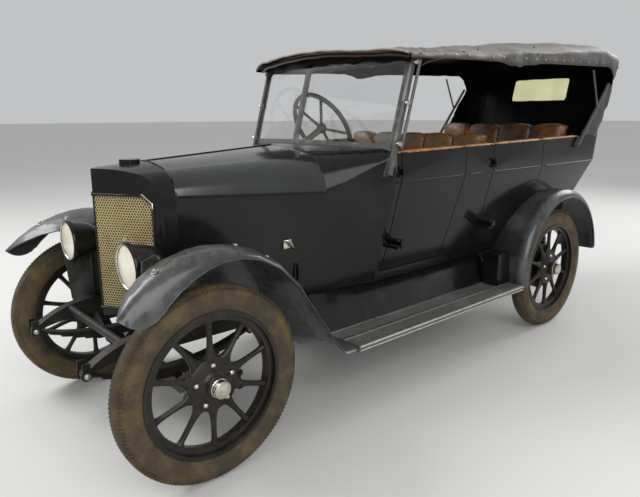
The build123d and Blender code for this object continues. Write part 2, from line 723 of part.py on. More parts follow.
# Running boards on two brackets each
with BuildPart() as running_boards:
    for side in SIDES.values():
        middle = side * (BOARD_INSIDE + FENDER_OUT) / 2
        with Locations((middle, at((BOARD_START + BOARD_END) / 2), BOARD_TOP)):
            Box(FENDER_OUT - BOARD_INSIDE, BOARD_END - BOARD_START, BOARD_THICK,
                align=(Align.CENTER, Align.CENTER, Align.MAX))
        for station in (BOARD_START + BRACKET_INSET - 1, BOARD_END - BRACKET_INSET):
            board_bottom = BOARD_TOP - BOARD_THICK
            with BuildSketch(cross_plane(station - 20)):
                with BuildLine():
                    Polyline(
                        (side * rail_face, 530), (side * rail_face, board_bottom - 14),
                        (side * (FENDER_OUT - 40), board_bottom - 14),
                        (side * (FENDER_OUT - 40), board_bottom),
                        (side * (rail_face + 12), board_bottom), (side * (rail_face + 12), 530),
                        close=True,
                    )
                make_face()
            extrude(amount=-40)
finish(running_boards.part, "running_boards")

# Front fenders: domed sheet over the wheel, with the web down to the frame
FENDER_HALF = 125
WEB_FOOT = 386
WEB_TOP = (478, 930)
WEB_START = -180
NOSE_END = -385
HEEL_RADIUS = 60
web_lean = (WEB_TOP[0] - WEB_FOOT) / (WEB_TOP[1] - RAIL_TOP + 10)
FRONT_FENDER = [
    # share of the side line, depth of the outer lip, crown, inner edge, drop of the inner edge
    (0.000, 125, 708, 690, 3),
    (0.030, 122, 692, 652, 6),
    (0.065, 115, 680, 608, 12),
    (0.115, 103, 668, 560, 24),
    (0.165, 90, 660, 515, 40),
    (0.215, 77, 654, 472, 62),
    (0.268, 63, 650, 430, 88),
    (0.320, 50, 645, 400, 100),
    (0.385, 40, 642, WEB_FOOT, 100),
    (0.450, 32, 640, WEB_FOOT, 84),
    (0.530, 26, 640, WEB_FOOT, 70),
    (0.621, 22, 640, WEB_FOOT, 66),
    (0.910, 20, 640, WEB_FOOT, 66),
    (0.930, 20, 640, WEB_FOOT, 66),
    (0.955, 20, 640, WEB_FOOT, 66),
    (1.000, 20, 640, WEB_FOOT, 66),
]


def front_fender_line(drop):
    """Side line of a front fender, drop below its crown, as tangent arcs and a line."""
    nose_radius = FRONT_NOSE_RADIUS - drop
    tail_radius = FRONT_TAIL_RADIUS - drop
    centre = at(FRONT_CROWN_STATION)
    nose_centre = (centre, FRONT_CROWN - FRONT_NOSE_RADIUS)
    tail_centre = (centre, FRONT_CROWN - FRONT_TAIL_RADIUS)
    nose_angle = degrees(
        atan2(
            sqrt(FRONT_NOSE_RADIUS**2 - (FRONT_CROWN_STATION - NOSE_END) ** 2),
            NOSE_END - FRONT_CROWN_STATION,
        )
    )
    CenterArc(nose_centre, nose_radius, nose_angle, 90 - nose_angle)
    CenterArc(tail_centre, tail_radius, 90, -FRONT_TAIL_ANGLE)
    turn = radians(FRONT_TAIL_ANGLE)
    foot_radius = HEEL_RADIUS + drop
    bend = (tail_centre[0] + tail_radius * sin(turn), tail_centre[1] + tail_radius * cos(turn))
    foot_rise = foot_radius * (1 - cos(turn))
    fall = bend[1] - (BOARD_TOP - drop) - foot_rise
    heel = (bend[0] + fall / tan(turn), bend[1] - fall)
    Line(bend, heel)
    foot_centre = (heel[0] + foot_radius * sin(turn), BOARD_TOP - drop + foot_radius)
    CenterArc(foot_centre, foot_radius, 270 - FRONT_TAIL_ANGLE, FRONT_TAIL_ANGLE)
    foot = (foot_centre[0], BOARD_TOP - drop)
    Line(foot, (at(BOARD_START), BOARD_TOP - drop))
    return nose_angle


def fender_profile(path, inner_reach, side):
    """Section of a fender at its path's start: outer lip, dome and flat inner part."""
    dome = [(FENDER_HALF, 52), (FENDER_HALF - 10, 26), (45, 0), (-80, 14), (-inner_reach, 36)]
    lower = [(x - (4 if x > 0 else 0), y + SHEET) for x, y in dome]
    lower[0] = (FENDER_HALF - SHEET, 52)
    with BuildSketch(Plane(origin=path @ 0, x_dir=(1, 0, 0), z_dir=path % 0)) as profile:
        with BuildLine():
            for outline in (dome, lower):
                points = [(side * x, y) for x, y in outline]
                ThreePointArc(*points[:3])
                ThreePointArc(points[2], points[3], points[4])
            Line((side * dome[0][0], dome[0][1]), (side * lower[0][0], lower[0][1]))
            Line((side * dome[-1][0], dome[-1][1]), (side * lower[-1][0], lower[-1][1]))
        make_face()
    return profile.sketch


def front_fender_sections(path, side, cap):
    """Sections of a front fender's sheet, or of the space above the sheet as its cap."""
    sections = []
    for share, lip, crown, inner, drop in FRONT_FENDER:
        outer_reach = FENDER_OUT - crown
        turns = [radians(angle) for angle in (90, 72, 50, 26, 0)]
        upper = [(crown + outer_reach * sin(turn), lip * (1 - cos(turn))) for turn in turns]
        upper += [(crown - (crown - inner) * part, drop * part**2) for part in (0.35, 0.7, 1)]
        lower = [
            (x - SHEET * sin(turn), y + SHEET * cos(turn)) for (x, y), turn in zip(upper, turns)
        ]
        lower += [(x, y + SHEET) for x, y in upper[len(turns):]]
        if cap:
            lower = [(FENDER_OUT, -cap), (inner, -cap)]
        outline = upper + lower[::-1]
        place = Plane(origin=path @ share, x_dir=(1, 0, 0), z_dir=path % share)
        with BuildSketch(place) as section:
            Polygon(*[(side * x, y) for x, y in outline], align=None)
        sections.append(section.sketch)
    return sections


def front_fender(side):
    """One front fender with its web, in one piece."""
    with BuildLine(side_plane(0)) as side_line:
        front_fender_line(0)
    path = side_line.wire()
    with BuildPart() as fender:
        loft(sections=front_fender_sections(path, side, 0), ruled=True)
        with BuildSketch(cross_plane(NOSE_END - 60)):
            with BuildLine():
                Polyline(
                    (side * 300, RAIL_TOP - 10), (side * WEB_FOOT, RAIL_TOP - 10),
                    (side * (WEB_TOP[0] + 100 * web_lean), WEB_TOP[1] + 100),
                    (side * 300, WEB_TOP[1] + 100), close=True,
                )
            make_face()
        extrude(amount=-1400, mode=Mode.SUBTRACT)
    with BuildPart() as web:
        with BuildSketch(cross_plane(WEB_START)):
            with BuildLine():
                Polyline(
                    (side * rail_face, RAIL_TOP - 10), (side * (WEB_FOOT + 1), RAIL_TOP - 10),
                    (side * (WEB_TOP[0] + 1), WEB_TOP[1]),
                    (side * (WEB_TOP[0] + 1 - SHEET), WEB_TOP[1]),
                    (side * (WEB_FOOT - SHEET), RAIL_TOP - 4), (side * rail_face, RAIL_TOP - 4),
                    close=True,
                )
            make_face()
        extrude(amount=-(BOARD_START - WEB_START))
        with BuildSketch(side_plane(side * 300)):
            with BuildLine():
                start_angle = radians(front_fender_line(20))
                reach = FRONT_NOSE_RADIUS - 20
                nose = (
                    at(FRONT_CROWN_STATION) + reach * cos(start_angle),
                    FRONT_CROWN - FRONT_NOSE_RADIUS + reach * sin(start_angle),
                )
                Polyline(
                    (at(BOARD_START), BOARD_TOP - 20), (at(BOARD_START), 300),
                    (nose[0], 300), nose,
                )
            make_face()
        extrude(amount=side * 300, mode=Mode.INTERSECT)
        with BuildPart(mode=Mode.PRIVATE) as above:
            loft(sections=front_fender_sections(path, side, 50), ruled=True)
        add(above.part, mode=Mode.SUBTRACT)
    return fender.part + web.part


with BuildPart() as front_fenders:
    for side in SIDES.values():
        add(front_fender(side))
finish(front_fenders.part, "front_fenders")

# Rear fenders: one arc around the wheel, trimmed to the tub's side
REAR_INSIDE = 440


def rear_fender(side):
    """One rear fender, trimmed to the tub."""
    with BuildPart() as fender:
        with BuildLine(side_plane(side * (FENDER_OUT - FENDER_HALF))) as crown_line:
            foot_angle = degrees(
                atan2(REAR_FENDER_LEVEL - BOARD_TOP + BOARD_THICK, REAR_FENDER_RADIUS)
            )
            tip_angle = degrees(
                atan2(REAR_TIP_LEVEL - REAR_FENDER_LEVEL, REAR_FENDER_RADIUS)
            )
            CenterArc(
                (at(REAR_FENDER_STATION), REAR_FENDER_LEVEL), REAR_FENDER_RADIUS,
                180 + foot_angle, -(180 + foot_angle - tip_angle),
            )
        path = crown_line.wire()
        profile = fender_profile(path, FENDER_OUT - FENDER_HALF - REAR_INSIDE, side)
        sweep(sections=profile, path=path)
        add(tub_block.part, mode=Mode.SUBTRACT)
    return fender.part


with BuildPart() as rear_fenders:
    for side in SIDES.values():
        add(rear_fender(side))
finish(rear_fenders.part, "rear_fenders")

# Headlamps: bowl, rim and post; the glass is a node of its own
LAMP_X = 340
LAMP_STATION = -180
LAMP_LEVEL = 863
LAMP_RADIUS = 100
LAMP_DEPTH = 155
GLASS_RADIUS = 90
POST_WIDTH = 46
with BuildPart() as headlamps:
    for side in SIDES.values():
        centre = (side * LAMP_X, at(LAMP_STATION), LAMP_LEVEL)
        radial = Plane(origin=centre, x_dir=(0, 0, 1), z_dir=(1, 0, 0))
        with BuildSketch(radial):
            # Local x is the radius and local y runs forward
            with BuildLine():
                Polyline((0, -8), (GLASS_RADIUS, -8), (GLASS_RADIUS, 8), (LAMP_RADIUS, 8),
                         (LAMP_RADIUS, -12), (LAMP_RADIUS - 8, -12),
                         (LAMP_RADIUS - 14, -0.3 * LAMP_DEPTH),
                         (LAMP_RADIUS - 34, -0.62 * LAMP_DEPTH),
                         (LAMP_RADIUS - 62, -0.88 * LAMP_DEPTH), (20, -LAMP_DEPTH),
                         (0, -LAMP_DEPTH), (0, -8))
            make_face()
        revolve(axis=Axis(centre, (0, 1, 0)))
        with Locations((side * LAMP_X, at(LAMP_STATION + 95), RAIL_TOP)):
            Box(POST_WIDTH, 14, LAMP_LEVEL - RAIL_TOP - 40,
                align=(Align.CENTER, Align.CENTER, Align.MIN))
            with Locations((-side * (LAMP_X - RAIL_CENTRE), 0, 0)):
                Box(RAIL_WIDTH, 50, 8, align=(Align.CENTER, Align.CENTER, Align.MIN))
finish(headlamps.part, "headlamps")

with BuildPart() as headlamp_glass:
    for side in SIDES.values():
        with BuildSketch(cross_plane(LAMP_STATION + 8)):
            with Locations((side * LAMP_X, LAMP_LEVEL)):
                Circle(GLASS_RADIUS)
        extrude(amount=14)
finish(headlamp_glass.part, "headlamp_glass")

# Windscreen: two leaning panes that meet at the centre post, each split across
SCREEN_BASE = (570, 1120, 1285)
SCREEN_CENTRE = (0, 956, 1302)
SCREEN_LEAN = 0.28
SCREEN_OUTER_RISE = 448
SCREEN_CENTRE_RISE = 392
SCREEN_BAR = 16
CENTRE_BAR = 24
SCREEN_SPLIT = 205
SCREEN_MEETING = 2.5
SCREEN_SKIRT = 40
STANCHION_FOOT = 130
GLASS_THICK = 5


def screen_sheet(side, panes):
    """Sketch of half the screen: its two panes of glass, or the frame around them."""
    middle = Vector(0, at(SCREEN_CENTRE[1]), SCREEN_CENTRE[2])
    foot = Vector(side * SCREEN_BASE[0], at(SCREEN_BASE[1]), SCREEN_BASE[2])
    along = foot - middle
    up = Vector(0, SCREEN_LEAN, 1)
    plane = Plane(origin=middle, x_dir=along, z_dir=along.cross(up))
    bar = SCREEN_BAR / along.length
    post = CENTRE_BAR / along.length

    def corner(share, rise):
        spot = plane.to_local_coords(middle + along * share + up * rise)
        return (spot.X, spot.Y)

    def top(share, drop=0):
        return corner(share, SCREEN_CENTRE_RISE * (1 - share) + SCREEN_OUTER_RISE * share - drop)

    with BuildSketch(plane) as sheet:
        if not panes:
            Polygon(corner(0, -SCREEN_SKIRT), corner(1, -SCREEN_SKIRT), top(1), top(0), align=None)
        Polygon(corner(post, SCREEN_BAR), corner(1 - bar, SCREEN_BAR), top(1 - bar, SCREEN_BAR),
                top(post, SCREEN_BAR), align=None, mode=Mode.ADD if panes else Mode.SUBTRACT)
        if panes:
            low, high = SCREEN_SPLIT - SCREEN_MEETING, SCREEN_SPLIT + SCREEN_MEETING
            Polygon(corner(0, low), corner(1, low), corner(1, high), corner(0, high),
                    align=None, mode=Mode.SUBTRACT)
    return sheet.sketch


with BuildPart() as windscreen_frame:
    for side in SIDES.values():
        add(screen_sheet(side, False))
        extrude(amount=SCREEN_BAR / 2, both=True)
        # The stanchion stands outside the frame, with its foot down the scuttle's side
        base = Vector(side * (SCREEN_BASE[0] + 22), at(SCREEN_BASE[1]), SCREEN_BASE[2])
        rise = Vector(0, SCREEN_LEAN, 1)
        stanchion = Plane(origin=base, x_dir=(1, 0, 0), z_dir=rise)
        with BuildSketch(stanchion):
            Rectangle(18, 26)
        extrude(amount=(SCREEN_OUTER_RISE - 10) * rise.length)
        with BuildSketch(stanchion):
            Rectangle(18, 26)
        extrude(amount=-STANCHION_FOOT)
        for share in (0.06, 0.5, 0.94):
            spot = base + rise * (share * SCREEN_OUTER_RISE)
            with Locations(spot - Vector(side * 10, 0, 0)):
                Box(28, 20, 26)
    add(scuttle_block.part, mode=Mode.SUBTRACT)
finish(windscreen_frame.part, "windscreen_frame")

with BuildPart() as windscreen_glass:
    for side in SIDES.values():
        add(screen_sheet(side, True))
        extrude(amount=GLASS_THICK / 2, both=True)
finish(windscreen_glass.part, "windscreen_glass")

# Steering column with its box on the frame
BOX_STATION = 560
with BuildPart() as steering_column:
    with BuildSketch(steer_plane.offset(-30)):
        Circle(COLUMN_RADIUS)
    reach = (STEER_HUB[0] - BOX_STATION) / cos(radians(STEER_SLOPE)) - 30
    extrude(amount=-reach)
    box_level = STEER_HUB[1] - (STEER_HUB[0] - BOX_STATION) * tan(radians(STEER_SLOPE))
    with Locations((STEER_X + 30, at(BOX_STATION), RAIL_TOP)):
        Box(60, 90, box_level + 30 - RAIL_TOP, align=(Align.CENTER, Align.CENTER, Align.MIN))
finish(steering_column.part, "steering_column")

WHEEL_SPOKES = 5
GRIP_RADIUS = 15
with BuildPart() as steering_wheel:
    with BuildSketch(Plane(origin=steer_hub, x_dir=steer_axis, z_dir=(-1, 0, 0))):
        # Local x runs up the column and local y across the wheel
        with Locations((0, STEER_WHEEL_RADIUS - GRIP_RADIUS)):
            RegularPolygon(GRIP_RADIUS, 10, rotation=18)
        with BuildLine():
            Polyline((-28, 0), (-28, 24), (-12, 34), (10, 34), (22, 20), (22, 0), close=True)
        make_face()
    revolve(axis=Axis(steer_hub, steer_axis))
    with BuildSketch(steer_plane.offset(-5)):
        with PolarLocations(0, WHEEL_SPOKES, start_angle=9):
            with Locations((STEER_WHEEL_RADIUS / 2, 0)):
                Rectangle(STEER_WHEEL_RADIUS - 20, 20)
    extrude(amount=8)
finish(steering_wheel.part, "steering_wheel")

# Seats: cushions and backs, front and rear
with BuildPart() as seat_cushions:
    for front, rear, low, high, half_low, half_high in (
        # stations, levels and half widths of each cushion
        (1455, 1880, 800, 945, 478, 515),
        (2372, 2890, 760, 925, 468, 505),
    ):
        with BuildSketch(Plane.XY.offset(low)):
            with Locations((0, at((front + rear) / 2))):
                RectangleRounded(2 * half_low, rear - front, 30)
        with BuildSketch(Plane.XY.offset(high)):
            with Locations((0, at((front + rear) / 2))):
                RectangleRounded(2 * half_high, rear - front, 30)
        loft(ruled=True)
finish(seat_cushions.part, "seat_cushions")

with BuildPart() as seat_backs:
    for station, low, high, half_low, half_high, lean in (
        # station of the back's foot, levels, half widths and rearward lean
        (1890, 800, 1350, 470, 555, 40),
        (2900, 760, 1395, 455, 535, 95),
    ):
        with BuildSketch(Plane.XY.offset(low)):
            with Locations((0, at(station + 55))):
                RectangleRounded(2 * half_low, 100, 25)
        with BuildSketch(Plane.XY.offset(high)):
            with Locations((0, at(station + 55 + lean))):
                RectangleRounded(2 * half_high, 100, 25)
        loft(ruled=True)
finish(seat_backs.part, "seat_backs")

# Canopy: roof over the cabin, closed rear quarters and rear curtain
ROOF = [
    # station, crown level, brow level, edge level
    (CANOPY_FRONT - 60, 1778, 1759, 1728),
    (2020, 1878, 1842, 1780),
    (2960, 1975, 1930, 1850),
    (3330, 1998, 1952, 1872),
    (CANOPY_REAR + 20, 1930, 1900, 1850),
]
CANOPY_LEVELS = [
    # level, half width, rear station, corner
    (1285, 600, 3500, 135),
    (1800, 650, CANOPY_REAR, 150),
    (2040, 650, CANOPY_REAR, 150),
]
HEM_LEVEL = 1718
HEM_SLOPE = 0.028


def roof_block(inset):
    """Block under the roof; crown and brow are arcs, the sides go straight down."""
    sections = []
    for station, crown, brow, edge in ROOF:
        half = 660
        with BuildSketch(cross_plane(station)) as section:
            with BuildLine():
                for side in (1, -1):
                    Polyline((side * half, 1200), (side * half, edge - inset))
                    ThreePointArc(
                        (side * half, edge - inset),
                        (side * 560, (edge + brow) / 2 + 16 - inset),
                        (side * 420, brow - inset),
                    )
                ThreePointArc((-420, brow - inset), (0, crown - inset), (420, brow - inset))
                Line((-half, 1200), (half, 1200))
            make_face()
        sections.append(section.sketch)
    with BuildPart() as block:
        loft(sections=sections, ruled=True)
    return block.part


def canopy_block(inset):
    """Outer or inner form of the canopy, down to the body's rail."""
    front = CANOPY_FRONT - (40 if inset else 20)
    return rounded_block(CANOPY_LEVELS, front, inset) & roof_block(inset)


OPENING_FOOT = 3075
REAR_WINDOW = (470, 172)
OPENING_TOP = 3500
with BuildPart() as canopy:
    add(canopy_block(0))
    add(canopy_block(CANOPY_THICK), mode=Mode.SUBTRACT)
    with BuildSketch(side_plane(0)):
        hem_rear = HEM_LEVEL + HEM_SLOPE * (OPENING_TOP - 160 - CANOPY_FRONT)
        with BuildLine():
            Polyline(
                (at(OPENING_TOP - 160), hem_rear), (at(CANOPY_FRONT - 60), HEM_LEVEL),
                (at(CANOPY_FRONT - 60), 1200), (at(OPENING_FOOT), 1200),
                (at(OPENING_FOOT + 30), 1290), (at(OPENING_TOP - 30), 1670),
            )
            ThreePointArc(
                (at(OPENING_TOP - 30), 1670), (at(OPENING_TOP - 58), 1740),
                (at(OPENING_TOP - 160), hem_rear),
            )
        make_face()
    extrude(amount=700, both=True, mode=Mode.SUBTRACT)
    with BuildSketch(Plane.XY.offset(1200)):
        # The front edge is bowed: furthest forward in the middle
        with BuildLine():
            ThreePointArc((-CANOPY_BOW_HALF, at(CANOPY_CORNER)), (0, at(CANOPY_FRONT)),
                          (CANOPY_BOW_HALF, at(CANOPY_CORNER)))
            Polyline((CANOPY_BOW_HALF, at(CANOPY_CORNER)), (CANOPY_BOW_HALF, at(CANOPY_FRONT - 80)),
                     (-CANOPY_BOW_HALF, at(CANOPY_FRONT - 80)), (-CANOPY_BOW_HALF, at(CANOPY_CORNER)))
        make_face()
    extrude(amount=900, mode=Mode.SUBTRACT)
    with BuildSketch(cross_plane(CANOPY_REAR + 40)):
        with Locations((0, 1650)):
            RectangleRounded(*REAR_WINDOW, 22)
    extrude(amount=400, mode=Mode.SUBTRACT)
    add(tub_block.part, mode=Mode.SUBTRACT)
finish(canopy.part, "canopy")

with BuildPart() as rear_window:
    add(canopy_block(3))
    add(canopy_block(9), mode=Mode.SUBTRACT)
    with BuildSketch(cross_plane(CANOPY_REAR + 40)):
        with Locations((0, 1650)):
            RectangleRounded(*REAR_WINDOW, 22)
    extrude(amount=400, mode=Mode.INTERSECT)
finish(rear_window.part, "rear_window")

# Canopy irons: side struts, braces and the stays beside the windscreen
with BuildPart() as canopy_irons:
    for side in SIDES.values():
        foot = Vector(side * 620, at(3044), 1238)
        top = Vector(side * 628, at(3428), 1668)
        brace_top = Vector(side * 628, at(3160), 1752)
        brace_foot = foot + (top - foot) * 0.62
        stay_top = Vector(side * 620, at(1262), 1716)
        stay_foot = Vector(side * 612, at(1146), 1288)
        for start, end, radius in (
            (foot, top, 11), (brace_top, brace_foot, 7), (stay_foot, stay_top, 8),
        ):
            run = end - start
            with BuildSketch(Plane(origin=start, z_dir=run)):
                Circle(radius)
            extrude(amount=run.length)
        with Locations((side * 611, at(3044), 1238)):
            Cylinder(16, 22, rotation=(0, 90, 0))
finish(canopy_irons.part, "canopy_irons")

# Toolbox on the left running board
TOOLBOX = (114, 134, 205)
TOOLBOX_STATION = BOARD_END - 76
TOOLBOX_GAP = 9
with BuildPart() as toolbox:
    with Locations((BOARD_INSIDE + TOOLBOX[0] / 2 + TOOLBOX_GAP, at(TOOLBOX_STATION), BOARD_TOP)):
        Box(*TOOLBOX, align=(Align.CENTER, Align.CENTER, Align.MIN))
finish(toolbox.part, "toolbox")

# Hand brake and gear lever on the floor beside the driver
with BuildPart() as levers:
    for x, height in ((-60, 330), (-120, 400)):
        with Locations((x, at(1330), RAIL_TOP + FLOOR_THICK)):
            Cylinder(8, height, align=(Align.CENTER, Align.CENTER, Align.MIN))
            Box(40, 70, 12, align=(Align.CENTER, Align.CENTER, Align.MIN))
        with Locations((x, at(1330), RAIL_TOP + FLOOR_THICK + height)):
            Sphere(16)
finish(levers.part, "levers")
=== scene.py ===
"""Looks of an open touring car of the 1920s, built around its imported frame."""

from math import cos, exp, pi, radians, sin, sqrt

import bmesh
import bpy
from bpy.props import FloatProperty, FloatVectorProperty, IntProperty, PointerProperty
from mathutils import Matrix, Vector
from mathutils.bvhtree import BVHTree
from mathutils.noise import noise as noise_of


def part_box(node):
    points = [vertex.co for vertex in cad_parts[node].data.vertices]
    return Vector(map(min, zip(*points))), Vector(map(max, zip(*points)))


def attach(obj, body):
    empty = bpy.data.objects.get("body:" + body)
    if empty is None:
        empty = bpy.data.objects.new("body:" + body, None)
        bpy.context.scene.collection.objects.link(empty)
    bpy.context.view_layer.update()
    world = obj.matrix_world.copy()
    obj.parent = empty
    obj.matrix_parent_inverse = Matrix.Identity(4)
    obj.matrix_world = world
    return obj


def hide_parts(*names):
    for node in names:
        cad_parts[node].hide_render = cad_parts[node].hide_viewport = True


bl_info = {
    "name": "Touring Car Looks",
    "version": (1, 0, 0),
    "blender": (4, 5, 0),
    "location": "3D View > Sidebar > Touring Car",
    "description": "Dresses the frame of an open touring car in its finishes",
    "category": "Object",
}

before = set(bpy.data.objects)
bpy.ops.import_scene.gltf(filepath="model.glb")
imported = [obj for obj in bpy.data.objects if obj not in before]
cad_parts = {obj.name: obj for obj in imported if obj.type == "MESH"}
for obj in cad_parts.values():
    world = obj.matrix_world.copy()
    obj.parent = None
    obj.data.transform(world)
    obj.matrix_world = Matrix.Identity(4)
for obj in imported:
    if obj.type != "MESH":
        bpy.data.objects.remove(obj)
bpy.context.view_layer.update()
SIDES = {"left": 1, "right": -1}
AXLES = ("front", "rear")
DOORS = [f"door_{axle}_{side}" for axle in AXLES for side in SIDES]


# Places and sizes read from the frame, in metres

def middle(node):
    """Middle of a frame node's box."""
    low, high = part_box(node)
    return (low + high) / 2


def hub_of(axle, side):
    """Where a wheel's middle plane crosses its axle."""
    low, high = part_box(f"tyre_{axle}_{side}")
    return (low + high) / 2


FRONT_AXLE_Y = hub_of("front", "left").y


def station(distance):
    """Y of a place this far behind the front axle."""
    return FRONT_AXLE_Y + distance


# Settings that a user would change

def size(name, description, default):
    """Length setting in metres."""
    return FloatProperty(name=name, description=description, default=default,
                         subtype="DISTANCE", unit="LENGTH", min=0)


def share(name, description, default):
    """Setting from nought to one."""
    return FloatProperty(name=name, description=description, default=default, min=0, max=1,
                         subtype="FACTOR")


def colour(name, description, default):
    """Colour setting."""
    return FloatVectorProperty(name=name, description=description, default=default, size=3,
                               subtype="COLOR", min=0, max=1)


class PaintSettings(bpy.types.PropertyGroup):
    """Colours and wear of the painted sheet and iron."""

    body: colour("Body paint", "Black paint of bonnet, tub and doors", (0.0065, 0.0068, 0.0065))
    worn: colour("Worn paint", "Paint gone grey with age", (0.020, 0.0215, 0.020))
    iron: colour("Iron", "Paint of axles, springs and frame", (0.0085, 0.0078, 0.007))
    dust: colour("Dust", "Dust that lies on top", (0.20, 0.195, 0.175))
    wear: share("Wear", "How much of the paint has gone grey", 0.45)


class LeatherSettings(bpy.types.PropertyGroup):
    """Colours of the seats and of the capping on the rail."""

    front: colour("Front seat", "Greenish brown leather in front", (0.130, 0.080, 0.029))
    rear: colour("Rear seat", "Brown leather behind", (0.050, 0.019, 0.007))
    tan: colour("Tan", "Orange-brown leather, rubbed bright", (0.36, 0.135, 0.028))


class ClothSettings(bpy.types.PropertyGroup):
    """Colours of the canopy."""

    outside: colour("Outside", "Coated cloth outside", (0.050, 0.047, 0.044))
    # Pale worn cloth of the piping, and the painted highlight that lightens the canopy's roof where
    # it faces up.
    faded: colour("Faded", "Pale worn cloth, and the painted highlight on top", (0.30, 0.262, 0.225))
    inside: colour("Inside", "Cloth seen from below", (0.006, 0.005, 0.005))


class TyreSettings(bpy.types.PropertyGroup):
    """Tread of the tyres."""

    lugs: IntProperty(name="Lugs", description="Lugs round each shoulder", default=150, min=24)
    rubber: colour("Rubber", "Old brown rubber", (0.042, 0.029, 0.016))
    clay: colour("Clay", "Ochre dirt on the walls", (0.125, 0.084, 0.026))


class RadiatorSettings(bpy.types.PropertyGroup):
    """Cells of the radiator's core."""

    pitch: size("Cell pitch", "From one cell to the next", 0.0130)
    brass: colour("Brass", "Dull brass", (0.74, 0.63, 0.36))
    rust: colour("Rust", "Red-brown patches", (0.52, 0.35, 0.16))


SETTINGS = {
    "paint": PaintSettings,
    "leather": LeatherSettings,
    "cloth": ClothSettings,
    "tyre": TyreSettings,
    "radiator": RadiatorSettings,
}


def settings(name):
    """One group of settings from the scene."""
    return getattr(bpy.context.scene, f"car_{name}")


# Shader nodes

def fed(node, inputs):
    """Joins sockets to a node's inputs, or sets their values, by name or number."""
    for name, value in inputs.items():
        value = getattr(value, "socket", value)
        if isinstance(value, bpy.types.NodeSocket):
            node.id_data.links.new(value, node.inputs[name])
        else:
            node.inputs[name].default_value = value
    return node


def shader(tree, kind, inputs=None, **values):
    """Adds a node with its own values and its inputs."""
    made = tree.nodes.new(kind)
    for name, value in values.items():
        setattr(made, name, value)
    return fed(made, inputs or {})


class Value:
    """Output socket that adds, subtracts and multiplies as a number does."""

    def __init__(self, socket):
        self.socket = socket

    def through(self, kind, inputs, output=0, **values):
        """Output of a new node in the same tree."""
        return Value(shader(self.socket.id_data, kind, inputs, **values).outputs[output])

    def __add__(self, other):
        return combined("ADD", self, other)

    def __sub__(self, other):
        return combined("SUBTRACT", self, other)

    def __mul__(self, other):
        return combined("MULTIPLY", self, other)

    def __mod__(self, other):
        return combined("MODULO", self, other)

    def clamped(self):
        """Keeps this value between nought and one."""
        self.socket.node.use_clamp = True
        return self


def combined(operation, first, second):
    """Value of a sum, product or the like."""
    known = first if isinstance(first, Value) else second
    return known.through("ShaderNodeMath", {0: first, 1: second}, operation=operation)


def inputs_of(tree):
    """A tree's inputs by name."""
    return {socket.name: Value(socket) for socket in tree.nodes.new("NodeGroupInput").outputs}


def blended(factor, first, second):
    """Colour between two, by factor."""
    return factor.through("ShaderNodeMix", {0: factor, 6: first, 7: second}, 2, data_type="RGBA")


def ramped(value, low, high):
    """Value from nought at low to one at high."""
    return value.through("ShaderNodeMapRange", {"Value": value, "From Min": low, "From Max": high},
                         interpolation_type="SMOOTHSTEP")


def noise(place, scale, detail=4.0, rough=0.55):
    """Noise value at a place."""
    return place.through("ShaderNodeTexNoise", {"Vector": place, "Scale": scale, "Detail": detail,
                                                "Roughness": rough})


def stretched(place, factors):
    """A place with each axis multiplied."""
    return place.through("ShaderNodeMapping", {"Vector": place, "Scale": factors})


def cell_edges(place, scale):
    """Distance to the nearest edge of a pattern of cells."""
    return place.through("ShaderNodeTexVoronoi", {"Vector": place, "Scale": scale}, "Distance",
                         feature="DISTANCE_TO_EDGE")


def facing_up(place):
    """How far the surface faces up."""
    normal = place.through("ShaderNodeNewGeometry", {}, "Normal")
    return normal.through("ShaderNodeSeparateXYZ", {0: normal}, 2)


def bumped(height, distance, strength):
    """Normal raised by a height."""
    return height.through("ShaderNodeBump", {"Height": height, "Distance": distance,
                                             "Strength": strength})


def effect_group(name, colours, values):
    """New shader node group; gives the tree and its inputs by name."""
    tree = bpy.data.node_groups.new(name, "ShaderNodeTree")
    inputs = {"Place": "Vector", **dict.fromkeys(colours, "Color"), **dict.fromkeys(values, "Float")}
    outputs = {"Colour": "Color", "Roughness": "Float", "Height": "Float"}
    for side, sockets in (("INPUT", inputs), ("OUTPUT", outputs)):
        for label, kind in sockets.items():
            socket = tree.interface.new_socket(label, in_out=side,
                                               socket_type=f"NodeSocket{kind}")
            if label in values:
                socket.default_value = values[label]
    return tree, inputs_of(tree)


def patina_group():
    """Old paint: grey mottling, fine scratches, and dust on what faces up."""
    tree, given = effect_group("Patina", ("Paint", "Worn", "Dust"), {
        "Wear": 0.4, "Dusty": 0.3, "Gloss": 0.4, "Scale": 3.0,
    })
    place = given["Place"]
    clouds = noise(place, given["Scale"], 6.0, 0.62)
    fine = noise(place, 55.0, 3.0)
    scuffs = ramped(noise(stretched(place, (9, 1.2, 40)), 6.0, 2.0), 0.66, 0.74)
    worn = (ramped(clouds, 0.45, 0.72) * given["Wear"] + scuffs * 0.18).clamped()
    shade = blended(worn, given["Paint"], given["Worn"])
    lying = ramped(facing_up(place), 0.35, 1.0)
    settled = lying * ramped(fine, 0.25, 0.75) * given["Dusty"]
    shader(tree, "NodeGroupOutput", {
        "Colour": blended(settled, shade, given["Dust"]),
        "Roughness": (given["Gloss"] + worn * 0.22 + settled * 0.5 + fine * 0.04).clamped(),
        "Height": clouds * 0.6 + fine * 0.05,
    })


